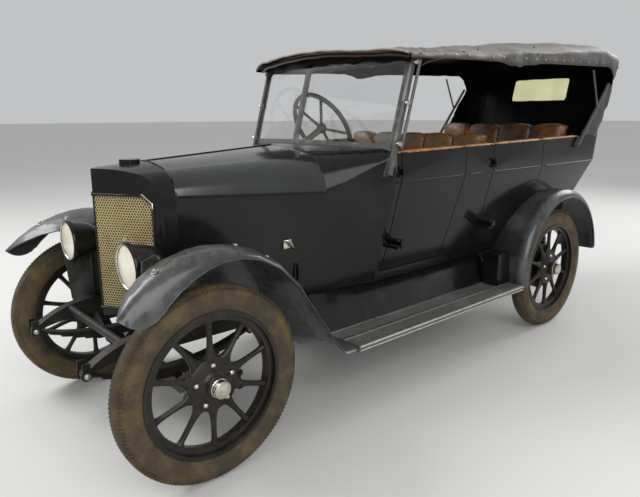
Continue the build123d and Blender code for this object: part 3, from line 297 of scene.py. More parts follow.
def hide_group():
    """Leather: pebbled grain, creases and rubbed patches."""
    tree, given = effect_group("Hide", ("Leather", "Rubbed"), {"Rubbing": 0.4, "Grain": 420.0})
    place = given["Place"]
    grain = ramped(cell_edges(place, given["Grain"]), 0.0, 0.25)
    creases = ramped(noise(stretched(place, (3, 3, 1)), 26.0, 4.0), 0.52, 0.60)
    rubbed = ramped(noise(place, 7.0, 5.0, 0.6), 0.40, 0.66) * given["Rubbing"]
    shade = blended(rubbed, given["Leather"], given["Rubbed"])
    shader(tree, "NodeGroupOutput", {
        "Colour": blended(creases * 0.35, shade, (0.02, 0.012, 0.008, 1)),
        "Roughness": combined("SUBTRACT", 0.42, rubbed * 0.15),
        "Height": grain * 0.3 + creases * -0.7,
    })


def weave_group():
    """Coated cloth: fine twill with cracks and folds, and a painted highlight that lightens it on
    top.
    """
    tree, given = effect_group("Coated cloth", ("Cloth", "Faded"), {
        "Top light": 0.5, "Threads": 900.0,
    })
    place = given["Place"]
    twill = place.through("ShaderNodeTexWave", {
        "Vector": stretched(place, (1, 1, 1.7)), "Scale": given["Threads"], "Distortion": 0.4,
    }, "Fac", wave_type="BANDS", bands_direction="DIAGONAL")
    clouds = noise(place, 2.6, 6.0, 0.6)
    streaks = noise(stretched(place, (1.2, 12, 3)), 2.2, 5.0, 0.6)
    cracked = ramped(cell_edges(place, 42.0), 0.06, 0.0) * ramped(clouds, 0.46, 0.7)
    # Painted highlight: what faces up is lightened in streaks, for the light on the roof; the
    # lighter cracks are wear.
    lit_top = ramped(facing_up(place), 0.1, 0.95) * given["Top light"]
    faded = (lit_top * ramped(streaks, 0.2, 0.75)).clamped()
    faded = (faded + cracked * 0.35).clamped()
    shader(tree, "NodeGroupOutput", {
        "Colour": blended(faded, given["Cloth"], given["Faded"]),
        "Roughness": (streaks * 0.45 + 0.22).clamped(),
        "Height": twill * 0.12 + streaks * 0.8 - cracked * 0.5,
    })


def new_material(name):
    """Material with its Principled shader and Object coordinates."""
    made = bpy.data.materials.new(name)
    made.use_nodes = True
    tree = made.node_tree
    place = Value(tree.nodes.new("ShaderNodeTexCoord").outputs["Object"])
    return made, tree.nodes["Principled BSDF"], place


def with_effect(name, group, values, bump=0.001, strength=0.5, **shader_values):
    """Material whose colour, roughness and bump come from one effect group."""
    made, bsdf, place = new_material(name)
    effect = shader(made.node_tree, "ShaderNodeGroup", {"Place": place, **values},
                    node_tree=bpy.data.node_groups[group]).outputs
    fed(bsdf, {
        "Base Color": effect["Colour"], "Roughness": effect["Roughness"],
        "Normal": bumped(Value(effect["Height"]), bump, strength),
        **{label.replace("_", " "): value for label, value in shader_values.items()},
    })
    return made


def full(rgb):
    """Colour with full alpha."""
    return (*rgb, 1.0)


def painted(name, paint, worn, wear, dusty, gloss, scale, **shader_values):
    """Painted metal or wood in one of its states of wear."""
    return with_effect(name, "Patina", {
        "Paint": full(paint), "Worn": full(worn), "Dust": full(settings("paint").dust),
        "Wear": wear, "Dusty": dusty, "Gloss": gloss, "Scale": scale,
    }, **shader_values)


def metal(name, tint, rough, spots):
    """Bare or plated metal with slight tarnish."""
    made, bsdf, place = new_material(name)
    tarnish = ramped(noise(place, 38.0), 0.45, 0.7) * spots
    fed(bsdf, {
        "Base Color": blended(tarnish, full(tint), full([0.35 * part for part in tint])),
        "Roughness": noise(place, 160.0, 2.0) * 0.12 + rough,
        "Metallic": 1.0,
    })
    return made


def rubber_material():
    """Old brown rubber with ochre dirt and fine cracks."""
    made, bsdf, place = new_material("old_rubber")
    tyre = settings("tyre")
    clouds = noise(place, 9.0, 6.0, 0.65)
    fine = noise(place, 130.0, 4.0)
    shade = blended(ramped(clouds, 0.40, 0.68) * 0.75, full(tyre.rubber), full(tyre.clay))
    fed(bsdf, {
        "Base Color": blended(ramped(fine, 0.5, 0.75) * 0.5, shade, (0.035, 0.028, 0.02, 1)),
        "Roughness": fine * 0.3 + 0.62,
        "Normal": bumped(fine + clouds * 2.0, 0.0008, 0.5),
    })
    return made


def brass_material():
    """Dull brass of the radiator's cells with rusty patches."""
    made, bsdf, place = new_material("core_brass")
    radiator = settings("radiator")
    patches = ramped(noise(place, 11.0, 5.0, 0.65), 0.48, 0.70) * 0.6
    fed(bsdf, {
        "Base Color": blended(patches, full(radiator.brass), full(radiator.rust)),
        "Roughness": patches * 0.35 + 0.36,
        "Metallic": 0.75,
    })
    return made


def clear_glass():
    """Thin clear pane with faint dust."""
    made, bsdf, place = new_material("pane_glass")
    dust = ramped(noise(place, 6.0, 5.0, 0.6), 0.35, 0.8)
    fed(bsdf, {
        "Base Color": (0.93, 0.96, 0.95, 1), "Roughness": dust * 0.10 + 0.03, "IOR": 1.45,
        "Transmission Weight": 1.0, "Alpha": dust * 0.06 + 0.10,
    })
    return made


def cream_glass():
    """Lamp glass gone cream, made bright as a painted reflection of the bright reflector behind it.
    """
    made, bsdf, place = new_material("lamp_glass")
    clouds = noise(place, 14.0, 4.0)
    ribs = place.through("ShaderNodeTexWave", {"Vector": place, "Scale": 70.0}, "Fac",
                         bands_direction="X")
    fed(bsdf, {
        # Painted reflection: the pale cream stands for the bright reflector seen through the glass;
        # the cream tint is the glass's own.
        "Base Color": blended(ramped(clouds, 0.3, 0.75), (0.80, 0.74, 0.54, 1),
                              (0.90, 0.87, 0.74, 1)),
        "Roughness": clouds * 0.15 + 0.12,
        "Normal": bumped(ribs, 0.0006, 0.4),
        "Coat Weight": 0.6,
    })
    return made


def window_celluloid():
    """Cream celluloid of the rear window, which lets light through, with a painted glow of its own
    colour.
    """
    made, bsdf, place = new_material("window_cream")
    clouds = noise(place, 9.0, 5.0, 0.6)
    shade = blended(ramped(clouds, 0.3, 0.75), (0.80, 0.78, 0.50, 1), (0.92, 0.91, 0.68, 1))
    fed(bsdf, {
        "Base Color": shade, "Roughness": clouds * 0.2 + 0.42,
        "Normal": bumped(clouds, 0.002, 0.4),
        "Transmission Weight": 0.5, "IOR": 1.05,
        # Painted glow: the pane gives off light in its own colour, as if lit from behind.
        "Emission Color": shade, "Emission Strength": 0.22,
    })
    return made


def make_materials():
    """Every finish of the car, by a maker's plain name."""
    for make_group in (patina_group, hide_group, weave_group):
        make_group()
    paint, leather, cloth = settings("paint"), settings("leather"), settings("cloth")
    own = (paint.body, paint.worn, paint.wear)
    # Paint, worn paint, wear, dust, roughness, scale of the mottling, and other shader values
    made = {name: painted(name, *row, **other) for name, row, other in (
        ("body_paint", (*own, 0.06, 0.13, 2.2), {"strength": 0.25, "Specular_IOR_Level": 0.28}),
        ("top_paint", (*own, 0.10, 0.15, 2.2),
         {"strength": 0.25, "Specular_IOR_Level": 0.6, "Coat_Weight": 0.6, "Coat_Roughness": 0.10}),
        ("fender_paint", ((0.030, 0.032, 0.032), (0.120, 0.128, 0.115), 0.65, 0.25, 0.24, 5.0),
         {"bump": 0.002, "strength": 0.3, "Coat_Weight": 0.2}),
        ("shell_paint", ((0.0065, 0.0065, 0.006), paint.worn, 0.3, 0.05, 0.16, 6.0),
         {"strength": 0.2, "Specular_IOR_Level": 0.3}),
        # Darker colour for the fenders' undersides, which face the wheels.
        ("underside_dark", ((0.006, 0.0055, 0.005), (0.014, 0.012, 0.010), 0.5, 0.0, 0.6, 6.0),
         {"Specular_IOR_Level": 0.15}),
        ("iron_paint", (paint.iron, (0.036, 0.028, 0.020), 0.45, 0.2, 0.42, 12.0),
         {"Specular_IOR_Level": 0.3}),
        ("wheel_paint", ((0.010, 0.0072, 0.0055), (0.045, 0.030, 0.018), 0.5, 0.15, 0.30, 14.0),
         {"Specular_IOR_Level": 0.35}),
        ("engine_iron", ((0.022, 0.021, 0.019), (0.05, 0.04, 0.028), 0.5, 0.4, 0.6, 9.0), {}),
        ("board_rubber", ((0.060, 0.066, 0.056), (0.15, 0.16, 0.14), 0.7, 0.3, 0.36, 7.0), {}),
        ("floor_wood", ((0.035, 0.025, 0.017), (0.08, 0.06, 0.04), 0.6, 0.4, 0.6, 8.0), {}),
        ("dash_wood", ((0.05, 0.024, 0.010), (0.09, 0.05, 0.024), 0.5, 0.1, 0.3, 9.0), {}),
        ("screen_metal", ((0.070, 0.073, 0.067), (0.19, 0.195, 0.18), 0.65, 0.1, 0.26, 16.0), {}),
        ("wheel_black", ((0.026, 0.024, 0.016), (0.080, 0.072, 0.048), 0.6, 0.15, 0.3, 18.0), {}),
        # Painted shade: the core behind the open cells is near black, for the shade deep inside
        # them.
        ("core_cell_shade", ((0.016, 0.012, 0.006), (0.03, 0.022, 0.01), 0.5, 0.0, 0.6, 9.0), {}),
    )}
    for name, tint, rough, spots in (
        ("nickel", (0.62, 0.59, 0.50), 0.20, 0.5),
        ("steel", (0.42, 0.41, 0.38), 0.34, 0.5),
        ("old_plating", (0.46, 0.40, 0.29), 0.30, 0.7),
        ("aluminium", (0.66, 0.66, 0.63), 0.38, 0.45),
        ("brass", (0.60, 0.44, 0.19), 0.28, 0.4),
    ):
        made[name] = metal(name, tint, rough, spots)
    for name, hide, rubbed, rubbing in (
        ("front_leather", leather.front, leather.tan, 0.45),
        ("rear_leather", leather.rear, leather.tan, 0.55),
        ("tan_leather", leather.tan, (0.60, 0.33, 0.12), 0.5),
    ):
        made[name] = with_effect(name, "Hide", {
            "Leather": full(hide), "Rubbed": full(rubbed), "Rubbing": rubbing,
        }, bump=0.0006, strength=0.6)
    for name, fresh, faded, top_light, other in (
        # The canopy's lighter top is a painted highlight; the piping's pale colour is wear, its top
        # lightened by the same painted highlight.
        ("canopy_cloth", cloth.outside, cloth.faded, 0.75, {"bump": 0.004}),
        ("faded_cloth", cloth.faded, (0.42, 0.39, 0.34), 0.6, {"bump": 0.002, "strength": 0.4}),
        ("lining_cloth", cloth.inside, cloth.outside, 0.1,
         {"bump": 0.002, "strength": 0.4, "Specular_IOR_Level": 0.06}),
    ):
        made[name] = with_effect(name, "Coated cloth", {
            "Cloth": full(fresh), "Faded": full(faded), "Top light": top_light,
        }, **other)
    made.update(rubber=rubber_material(), brass_core=brass_material(), pane_glass=clear_glass(),
                lamp_glass=cream_glass(), window_cream=window_celluloid())
    return made


FINISH = {}


# Meshes built by hand

def placed(origin, axis, across=(0, 0, 1)):
    """Matrix with its Z along axis and its X near across."""
    forward = Vector(axis).normalized()
    side = Vector(across) - forward * Vector(across).dot(forward)
    side.normalize()
    turn = Matrix((side, forward.cross(side), forward)).transposed()
    return Matrix.Translation(origin) @ turn.to_4x4()


def lathed(bm, profile, place, steps=64, closed=False):
    """Adds a surface of revolution; profile holds (radius, along) and place's Z is the axis."""
    rings = []
    for radius, along in profile:
        if radius < 1e-6:
            rings.append([bm.verts.new(place @ Vector((0, 0, along)))])
            continue
        rings.append([
            bm.verts.new(place @ Vector((radius * cos(t), radius * sin(t), along)))
            for t in (2 * pi * i / steps for i in range(steps))
        ])
    pairs = list(zip(rings, rings[1:]))
    if closed:
        pairs.append((rings[-1], rings[0]))
    for first, second in pairs:
        for i in range(steps):
            j = (i + 1) % steps
            corners = [first[i % len(first)], first[j % len(first)],
                       second[j % len(second)], second[i % len(second)]]
            bm.faces.new(list(dict.fromkeys(corners)))


def mirrored(half):
    """Profile whose other half repeats the first on the far side."""
    return half + [(radius, -along) for radius, along in half[::-1]]


def skinned(bm, loops, closed=False, caps=True):
    """Adds a skin over loops of points that hold as many points each."""
    rings = [[bm.verts.new(point) for point in loop] for loop in loops]
    count = len(rings[0])
    pairs = list(zip(rings, rings[1:]))
    if closed:
        pairs.append((rings[-1], rings[0]))
    for first, second in pairs:
        for i in range(count):
            j = (i + 1) % count
            bm.faces.new((first[i], first[j], second[j], second[i]))
    if caps and not closed:
        bm.faces.new(rings[0][::-1])
        bm.faces.new(rings[-1])


def tube(bm, points, radius, sides=12, closed=False, flat=1.0):
    """Adds a round bar along points; flat squeezes it along its second cross axis."""
    points = [Vector(point) for point in points]
    count = len(points)
    loops = []
    across = None
    for i, point in enumerate(points):
        after = points[(i + 1) % count] if closed else points[min(i + 1, count - 1)]
        before = points[i - 1] if closed else points[max(i - 1, 0)]
        forward = (after - before).normalized()
        if across is None:
            across = forward.orthogonal()
        across = (across - forward * across.dot(forward)).normalized()
        other = forward.cross(across)
        loops.append([
            point + radius * (cos(2 * pi * k / sides) * across
                              + flat * sin(2 * pi * k / sides) * other)
            for k in range(sides)
        ])
    skinned(bm, loops, closed)


def block(bm, centre, size, turn=None, bevel=0.0, segments=2):
    """Adds a box, its edges rounded by bevel."""
    place = Matrix.Translation(centre) @ (turn or Matrix()).to_4x4() @ Matrix.Diagonal((*size, 1))
    made = bmesh.ops.create_cube(bm, size=1, matrix=place)
    if bevel:
        edges = list({edge for vert in made["verts"] for edge in vert.link_edges})
        bmesh.ops.bevel(bm, geom=edges, offset=bevel, segments=segments, profile=0.5,
                        affect="EDGES")


def creased(bm, angle):
    """Smooths every face and keeps edges sharper than angle, in degrees."""
    for face in bm.faces:
        face.smooth = True
    for edge in bm.edges:
        edge.smooth = len(edge.link_faces) != 2 or edge.calc_face_angle(0) < radians(angle)


def mesh_of(bm, name):
    """Mesh with what a bmesh holds, which is freed."""
    data = bpy.data.meshes.new(name)
    bm.to_mesh(data)
    bm.free()
    return data


def linked(name, data):
    """New object in the scene."""
    made = bpy.data.objects.new(name, data)
    bpy.context.scene.collection.objects.link(made)
    return made


def piece(name, bm, body, finish, angle=35):
    """Turns a bmesh into a piece that rides on a body."""
    bmesh.ops.remove_doubles(bm, verts=bm.verts, dist=1e-6)
    bmesh.ops.recalc_face_normals(bm, faces=bm.faces)
    creased(bm, angle)
    return placed_piece(name, mesh_of(bm, name), body, finish)


def placed_piece(name, data, body, finish):
    """Object for a mesh, in its finish and riding on its body."""
    data.materials.clear()
    for each in (finish if isinstance(finish, (list, tuple)) else (finish,)):
        data.materials.append(FINISH[each])
    made = linked(name, data)
    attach(made, body)
    return made


def evaluated(thing):
    """Plain mesh of an object with its modifiers applied."""
    bpy.context.view_layer.update()
    graph = bpy.context.evaluated_depsgraph_get()
    return bpy.data.meshes.new_from_object(thing.evaluated_get(graph))


def carved(bm, cutters):
    """Bmesh of a closed one less the closed ones that cut it."""
    things = []
    for number, part in enumerate((bm, *cutters)):
        bmesh.ops.recalc_face_normals(part, faces=part.faces)
        name = f"carving_{number}"
        things.append(linked(name, mesh_of(part, name)))
    for tool in things[1:]:
        cut = things[0].modifiers.new("cut", "BOOLEAN")
        cut.operation = "DIFFERENCE"
        cut.solver = "EXACT"
        cut.object = tool
    data = evaluated(things[0])
    for thing in things:
        bpy.data.objects.remove(thing)
    made = bmesh.new()
    made.from_mesh(data)
    bpy.data.meshes.remove(data)
    return made


def merged_copy(node):
    """Bmesh of a frame node's mesh with its corners merged."""
    bm = bmesh.new()
    bm.from_mesh(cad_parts[node].data)
    bmesh.ops.remove_doubles(bm, verts=bm.verts, dist=2e-5)
    bmesh.ops.dissolve_limit(bm, angle_limit=radians(0.6), verts=bm.verts, edges=bm.edges)
    return bm


def polished(node, body, finish, angle=28, regions=(), bm=None):
    """Smooth copy of a frame node that replaces it; regions give other finishes by place."""
    bm = bm or merged_copy(node)
    for number, (inside, _) in enumerate(regions, start=1):
        for face in bm.faces:
            if inside(face.calc_center_median(), face.normal):
                face.material_index = number
    creased(bm, angle)
    name = f"{node}_skin"
    made = placed_piece(name, mesh_of(bm, name), body, [finish, *[each for _, each in regions]])
    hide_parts(node)
    return made


def dressed(**finishes):
    """Gives frame nodes their finishes."""
    for node, finish in finishes.items():
        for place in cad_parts[node].material_slots:
            place.link = "OBJECT"
            place.material = FINISH[finish]


# Geometry Nodes trees for what repeats

# From one row of cells to the next, as a share of their pitch
ROW_RISE = sqrt(0.75)


def tree_of(name, **values):
    """New Geometry Nodes tree that copies a shape; gives the tree and its inputs by name."""
    tree = bpy.data.node_groups.new(name, "GeometryNodeTree")
    kinds = {"Geometry": "Geometry", "Shape": "Object", "Material": "Material"}
    for label, value in values.items():
        kinds[label] = "Int" if isinstance(value, int) else "Float"
    for label, kind in kinds.items():
        socket = tree.interface.new_socket(label, in_out="INPUT", socket_type=f"NodeSocket{kind}")
        if label in values:
            socket.default_value = values[label]
    tree.interface.new_socket("Geometry", in_out="OUTPUT", socket_type="NodeSocketGeometry")
    return tree, inputs_of(tree)


def ended(tree, given, points, **turned):
    """Copies the shape on the points, sets its material and ends the tree."""
    shape = points.through("GeometryNodeObjectInfo", {"Object": given["Shape"]}, "Geometry")
    copies = shape.through("GeometryNodeInstanceOnPoints", {
        "Points": points, "Instance": shape, **turned,
    })
    real = copies.through("GeometryNodeRealizeInstances", {0: copies})
    final = real.through("GeometryNodeSetMaterial", {
        "Geometry": real, "Material": given["Material"],
    })
    shader(tree, "NodeGroupOutput", {0: final})


def ring_tree():
    """Copies of a shape turned round the X axis."""
    tree, given = tree_of("Ring array", Count=10, Start=0.0)
    points = given["Count"].through("GeometryNodePoints", {"Count": given["Count"]})
    index = points.through("GeometryNodeInputIndex", {})
    turn = index * combined("DIVIDE", 2 * pi, given["Count"]) + given["Start"]
    ended(tree, given, points, Rotation=turn.through("ShaderNodeCombineXYZ", {0: turn}))


def cell_tree():
    """Copies of a shape on a staggered grid in the XY plane."""
    tree, given = tree_of("Honeycomb", Columns=30, Rows=60, Pitch=0.0085)
    columns, rows, pitch = given["Columns"], given["Rows"], given["Pitch"]
    grid = pitch.through("GeometryNodeMeshGrid", {
        "Size X": pitch * (columns - 1), "Size Y": pitch * ROW_RISE * (rows - 1),
        "Vertices X": columns, "Vertices Y": rows,
    })
    shift = grid.through("GeometryNodeInputIndex", {}) % rows % 2.0 * (pitch * 0.5)
    offset = shift.through("ShaderNodeCombineXYZ", {0: shift})
    ended(tree, given, grid.through("GeometryNodeSetPosition", {
        "Geometry": grid, "Offset": offset,
    }))


def scatter_tree():
    """Copies of a shape on a mesh's points, turned by the points' normals."""
    tree, given = tree_of("Studs")
    points = given["Geometry"]
    normal = points.through("GeometryNodeInputNamedAttribute", {"Name": "facing"},
                            data_type="FLOAT_VECTOR")
    turn = normal.through("FunctionNodeAlignRotationToVector", {"Vector": normal}, axis="Z")
    ended(tree, given, points, Rotation=turn)


def grown(name, tree, values, body, finish, place=None, host=None, angle=35):
    """Runs a Geometry Nodes tree once and keeps its plain mesh as a piece."""
    source = linked(f"{name}_source", host or bpy.data.meshes.new(name))
    modifier = source.modifiers.new(tree, "NODES")
    modifier.node_group = bpy.data.node_groups[tree]
    values = dict(values, Material=FINISH[finish])
    for item in modifier.node_group.interface.items_tree:
        if item.in_out == "INPUT" and item.name in values:
            modifier[item.identifier] = values[item.name]
    data = evaluated(source)
    bpy.data.objects.remove(source)
    bm = bmesh.new()
    bm.from_mesh(data)
    if place:
        bmesh.ops.transform(bm, matrix=place, verts=bm.verts)
    bmesh.ops.recalc_face_normals(bm, faces=bm.faces)
    creased(bm, angle)
    bm.to_mesh(data)
    bm.free()
    data.name = name
    return placed_piece(name, data, body, finish)


def shape_of(bm, name):
    """Helper object whose mesh a tree copies."""
    bmesh.ops.recalc_face_normals(bm, faces=bm.faces)
    return linked(name, mesh_of(bm, name))


def studs(name, spots, shape, body, finish):
    """Copies of a shape at spots, which hold a point and the way it faces."""
    data = bpy.data.meshes.new(f"{name}_spots")
    data.from_pydata([tuple(point) for point, _ in spots], [], [])
    facing = data.attributes.new("facing", "FLOAT_VECTOR", "POINT")
    facing.data.foreach_set("vector", [part for _, way in spots for part in way])
    grown(name, "Studs", {"Shape": shape}, body, finish, host=data)


# The stage

FLOOR_HALF = 150
# Name, place, where it points, power in watts and width of each light
LIGHTS = (
    ("key", (-4.5, -4.5, 6.5), (0, 0, 0.6), 420, 4.0),
    ("fill", (6.5, -3.0, 4.0), (0, 0, 0.8), 260, 5.0),
    ("back", (1.0, 7.5, 5.0), (0, 0, 1.0), 240, 4.0),
)
CAMERA_PLACE = (2.5234, -2.706, 1.4478)
CAMERA_LENS = 32.524
CAMERA_YAW = -0.8469
CAMERA_PITCH = 0.2251
CAMERA_ROLL = -0.0047


def make_stage():
    """Pale floor, soft light and the camera at the photo's angle."""
    scene = bpy.context.scene
    scene.view_settings.view_transform = "Standard"
    world = bpy.data.worlds.new("studio")
    world.use_nodes = True
    fed(world.node_tree.nodes["Background"], {0: (0.86, 0.88, 0.90, 1), 1: 0.62})
    scene.world = world
    bm = bmesh.new()
    bmesh.ops.create_grid(bm, x_segments=1, y_segments=1, size=FLOOR_HALF)
    plane = linked("floor_plane", mesh_of(bm, "floor_plane"))
    pale, bsdf, _ = new_material("pale_floor")
    fed(bsdf, {"Base Color": (0.70, 0.69, 0.67, 1), "Roughness": 0.85})
    plane.data.materials.append(pale)
    for name, place, aim, power, width in LIGHTS:
        light = bpy.data.lights.new(name, "AREA")
        light.energy = power
        light.size = width
        lamp = linked(name, light)
        lamp.location = place
        lamp.rotation_euler = (Vector(aim) - Vector(place)).to_track_quat("-Z", "Y").to_euler()
    flat = cos(CAMERA_PITCH)
    ahead = Vector((sin(CAMERA_YAW) * flat, cos(CAMERA_YAW) * flat, -sin(CAMERA_PITCH)))
    right = ahead.cross(Vector((0, 0, 1))).normalized()
    up = right.cross(ahead)
    level = cos(CAMERA_ROLL) * right + sin(CAMERA_ROLL) * up
    rise = -sin(CAMERA_ROLL) * right + cos(CAMERA_ROLL) * up
    camera = linked("camera", bpy.data.cameras.new("camera"))
    camera.data.sensor_width = 36
    camera.data.lens = CAMERA_LENS
    turn = Matrix((level, rise, -ahead)).transposed()
    camera.matrix_world = Matrix.Translation(CAMERA_PLACE) @ turn.to_4x4()
    scene.camera = camera


def spot(x, behind, level):
    """Point from X, the distance behind the front axle and the level."""
    return Vector((x, station(behind), level))


# Radiator and bonnet

PROW = -0.170
PROW_SLOPE = 0.170 / 0.270
CORE_HALF = 0.248
CORE_LEVELS = (0.612, 1.122)
CORE_CHAMFER = 0.038
CAP_FOOT = 1.2385
CAP_HALF = 0.06


def prow_face(x, level, ahead=0.0):
    """Point on the radiator's pointed face, or ahead of it."""
    return spot(x, PROW + abs(x) * PROW_SLOPE - ahead, level)


def make_radiator():
    """Honeycomb, bright moulding round it, the shell and its filler cap."""
    pitch = settings("radiator").pitch
    bm = bmesh.new()
    around = [(cos(pi / 6 + k * pi / 3), sin(pi / 6 + k * pi / 3)) for k in range(6)]
    outline = pitch / sqrt(3)
    skinned(bm, [
        [(outline * scale * x, outline * scale * y, depth) for x, y in around]
        for scale, depth in ((1.0, -0.0012), (0.88, 0.0), (0.70, -0.0010), (0.64, -0.0041))
    ], caps=False)
    cell = shape_of(bm, "radiator_cell")
    low, high = CORE_LEVELS
    slant = sqrt(1 + PROW_SLOPE ** 2)
    columns = int(CORE_HALF * slant / pitch - 0.5)
    rows = int((high - low) / (pitch * ROW_RISE)) + 1
    for name, side in SIDES.items():
        along = Vector((1, side * PROW_SLOPE, 0)).normalized()
        ahead = Vector((side * PROW_SLOPE, -1, 0)).normalized()
        turn = Matrix((along, Vector((0, 0, 1)), ahead)).transposed().to_4x4()
        centre = prow_face(side * CORE_HALF / 2, sum(CORE_LEVELS) / 2) - ahead * 0.0007
        centre -= along * pitch / 4
        grown(f"radiator_cells_{name}", "Honeycomb",
              {"Shape": cell, "Columns": columns, "Rows": rows, "Pitch": pitch},
              "body", "brass_core", place=Matrix.Translation(centre) @ turn, angle=30)
    bpy.data.objects.remove(cell)
    inner = CORE_HALF - CORE_CHAMFER
    half_path = [(CORE_HALF, low), (CORE_HALF, high - CORE_CHAMFER), (inner, high)]
    bm = bmesh.new()
    tube(bm, [prow_face(0, low, 0.002), *(prow_face(x, level, 0.001) for x, level in half_path),
              prow_face(0, high, 0.002),
              *(prow_face(-x, level, 0.001) for x, level in half_path[::-1])],
         0.0065, 14, closed=True)
    tube(bm, [prow_face(0, level, -0.001) for level in CORE_LEVELS], 0.0035, 10)
    piece("radiator_moulding", bm, "body", "shell_paint")
    bm = bmesh.new()
    for side in SIDES.values():
        tube(bm, [prow_face(side * (x + 0.002), level + 0.006, 0.004) for x, level in
                  ((inner - 0.004, high), (inner, high), (CORE_HALF - 0.004, high - 0.034),
                   (CORE_HALF, high - CORE_CHAMFER), (CORE_HALF, high - 0.060))], 0.0042, 12)
    piece("radiator_chamfers", bm, "body", "nickel")
    # Painted shade: the core block behind the open cells is near black, for the shade deep inside
    # them.
    dressed(radiator_core="core_cell_shade")
    polished("radiator_shell", "body", "shell_paint", regions=(
        (lambda p, n: p.z > CAP_FOOT and abs(p.x) < CAP_HALF, "nickel"),
    ))


BONNET_START = 0.075
BONNET_LENGTH = 0.725
# One side of the bonnet's edge in front: X and level, and what each gains to the rear
BONNET_ARCH = ((0.2915, 0.1495, 1.112, -0.03), (0.259, 0.147, 1.183, 0.008),
               (0.179, 0.112, 1.2275, 0.0355), (0.09, 0.055, 1.247, 0.0435))


def bonnet_side(behind, level):
    """X of the bonnet's left side at a place."""
    along = (behind - BONNET_START) / BONNET_LENGTH
    low = 0.282 + 0.123 * along
    high = 0.287 + 0.145 * along
    return low + (high - low) * (level - 0.79) / 0.21


def make_bonnet():
    """Bonnet with its hinges and two latches on each side."""
    polished("bonnet_top", "body", "top_paint")
    polished("bonnet_sides", "body", "body_paint")
    for name, side in SIDES.items():
        bm = bmesh.new()
        tube(bm, [spot(side * 0.2905, 0.08, 1.1148), spot(side * 0.4405, 0.795, 1.0852)], 0.0055, 10)
        piece(f"bonnet_hinge_{name}", bm, "body", "shell_paint")
        bm = bmesh.new()
        for behind in (0.20, 0.66):
            x = bonnet_side(behind, 0.70)
            block(bm, spot(side * (x + 0.004), behind, 0.70), (0.008, 0.034, 0.085), bevel=0.003)
            tube(bm, [spot(side * (x + out), behind, level) for out, level in
                      ((0.014, 0.735), (0.018, 0.70), (0.012, 0.655))], 0.007, 12)
        piece(f"bonnet_latches_{name}", bm, "body", "shell_paint")
        bm = bmesh.new()
        x = bonnet_side(0.60, 0.845)
        tube(bm, [spot(side * (x + out), behind, level) for out, behind, level in
                  ((0.002, 0.575, 0.862), (0.012, 0.585, 0.868), (0.020, 0.600, 0.862),
                   (0.022, 0.612, 0.846), (0.016, 0.620, 0.832), (0.004, 0.622, 0.828))],
             0.0065, 14)
        block(bm, spot(side * (x + 0.003), 0.600, 0.848), (0.006, 0.050, 0.044), bevel=0.002)
        piece(f"bonnet_catch_{name}", bm, "body", "nickel")
    bm = bmesh.new()
    tube(bm, [spot(0, 0.078, 1.2525), spot(0, 0.798, 1.3005)], 0.005, 10)
    arch = [(1, *row) for row in BONNET_ARCH] + [(1, 0, 0, 1.2535, 0.048)]
    arch += [(-1, *row) for row in BONNET_ARCH[::-1]]
    for behind in (0.079, 0.797):
        along = (behind - BONNET_START) / BONNET_LENGTH
        tube(bm, [spot(side * (x + wider * along), behind, level + higher * along)
                  for side, x, wider, level, higher in arch], 0.004, 8)
    piece("bonnet_spine", bm, "body", "shell_paint")


# Body, doors and the leather capping

RAIL_SLOPE = 0.0166
CAPPING_X = 0.5855
NAIL_X = 0.6035
HANDLE_X = 0.5655
SCUTTLE_END = 1.12


def rail_level(behind):
    """Level of the body's top rail."""
    return 1.266 + RAIL_SLOPE * (behind - 1.130)


def capping(bm, side, start, end):
    """Adds a stretch of the leather roll on the rail."""
    loops = []
    count = max(2, int((end - start) / 0.05))
    for i in range(count + 1):
        behind = start + (end - start) * i / count
        squeeze = 0.35 if i in (0, count) else 1.0
        level = rail_level(behind) + 0.003
        loops.append([
            spot(side * (CAPPING_X + 0.0190 * cos(turn) * (0.5 + squeeze / 2)), behind,
                 level + 0.0085 * squeeze * sin(turn))
            for turn in (2 * pi * k / 14 for k in range(14))
        ])
    skinned(bm, loops)


def nail_spots(side, stations):
    """Where the rail's nails sit, and the way they face."""
    return [(spot(side * NAIL_X, behind, rail_level(behind) + 0.001), Vector((side, 0, 0)))
            for behind in stations]


BEAD_LEVEL = 1.118
# Stretches of the rail and of the bead, and the stations of the rail's nails
DOOR_SPANS = {"front": (1.174, 1.696), "rear": (2.014, 2.566)}
RAIL_SPANS = ((1.135, 1.162), (1.704, 2.002), (2.574, 3.072))
TUB_BEADS = (("front", 1.132, 1.166), ("middle", 1.704, 2.004), ("rear", 2.575, 3.35))
RAIL_NAILS = (1.72, 1.79, 1.86, 1.93, 1.99, 2.59, 2.67, 2.75, 2.83, 2.91, 2.99, 3.06)


def surface_of(node):
    """Tree of a frame node's mesh, for finding where a line meets it."""
    bm = merged_copy(node)
    tree = BVHTree.FromBMesh(bm)
    bm.free()
    return tree


def side_of(tree, side, behind, level):
    """Outermost point of a surface on one side at a place, or None."""
    hit = tree.ray_cast(spot(side * 1.2, behind, level), Vector((-side, 0, 0)), 0.9)
    return hit[0]


def bead(name, node, body, side, start, end):
    """Half-round bead along a panel at the bead's level."""
    tree = surface_of(node)
    count = max(3, int((end - start) / 0.06))
    found = [side_of(tree, side, start + (end - start) * i / count, BEAD_LEVEL)
             for i in range(count + 1)]
    points = [point for point in found if point]
    if len(points) > 2:
        bm = bmesh.new()
        tube(bm, points, 0.0042, 10)
        piece(name, bm, body, "body_paint", angle=50)


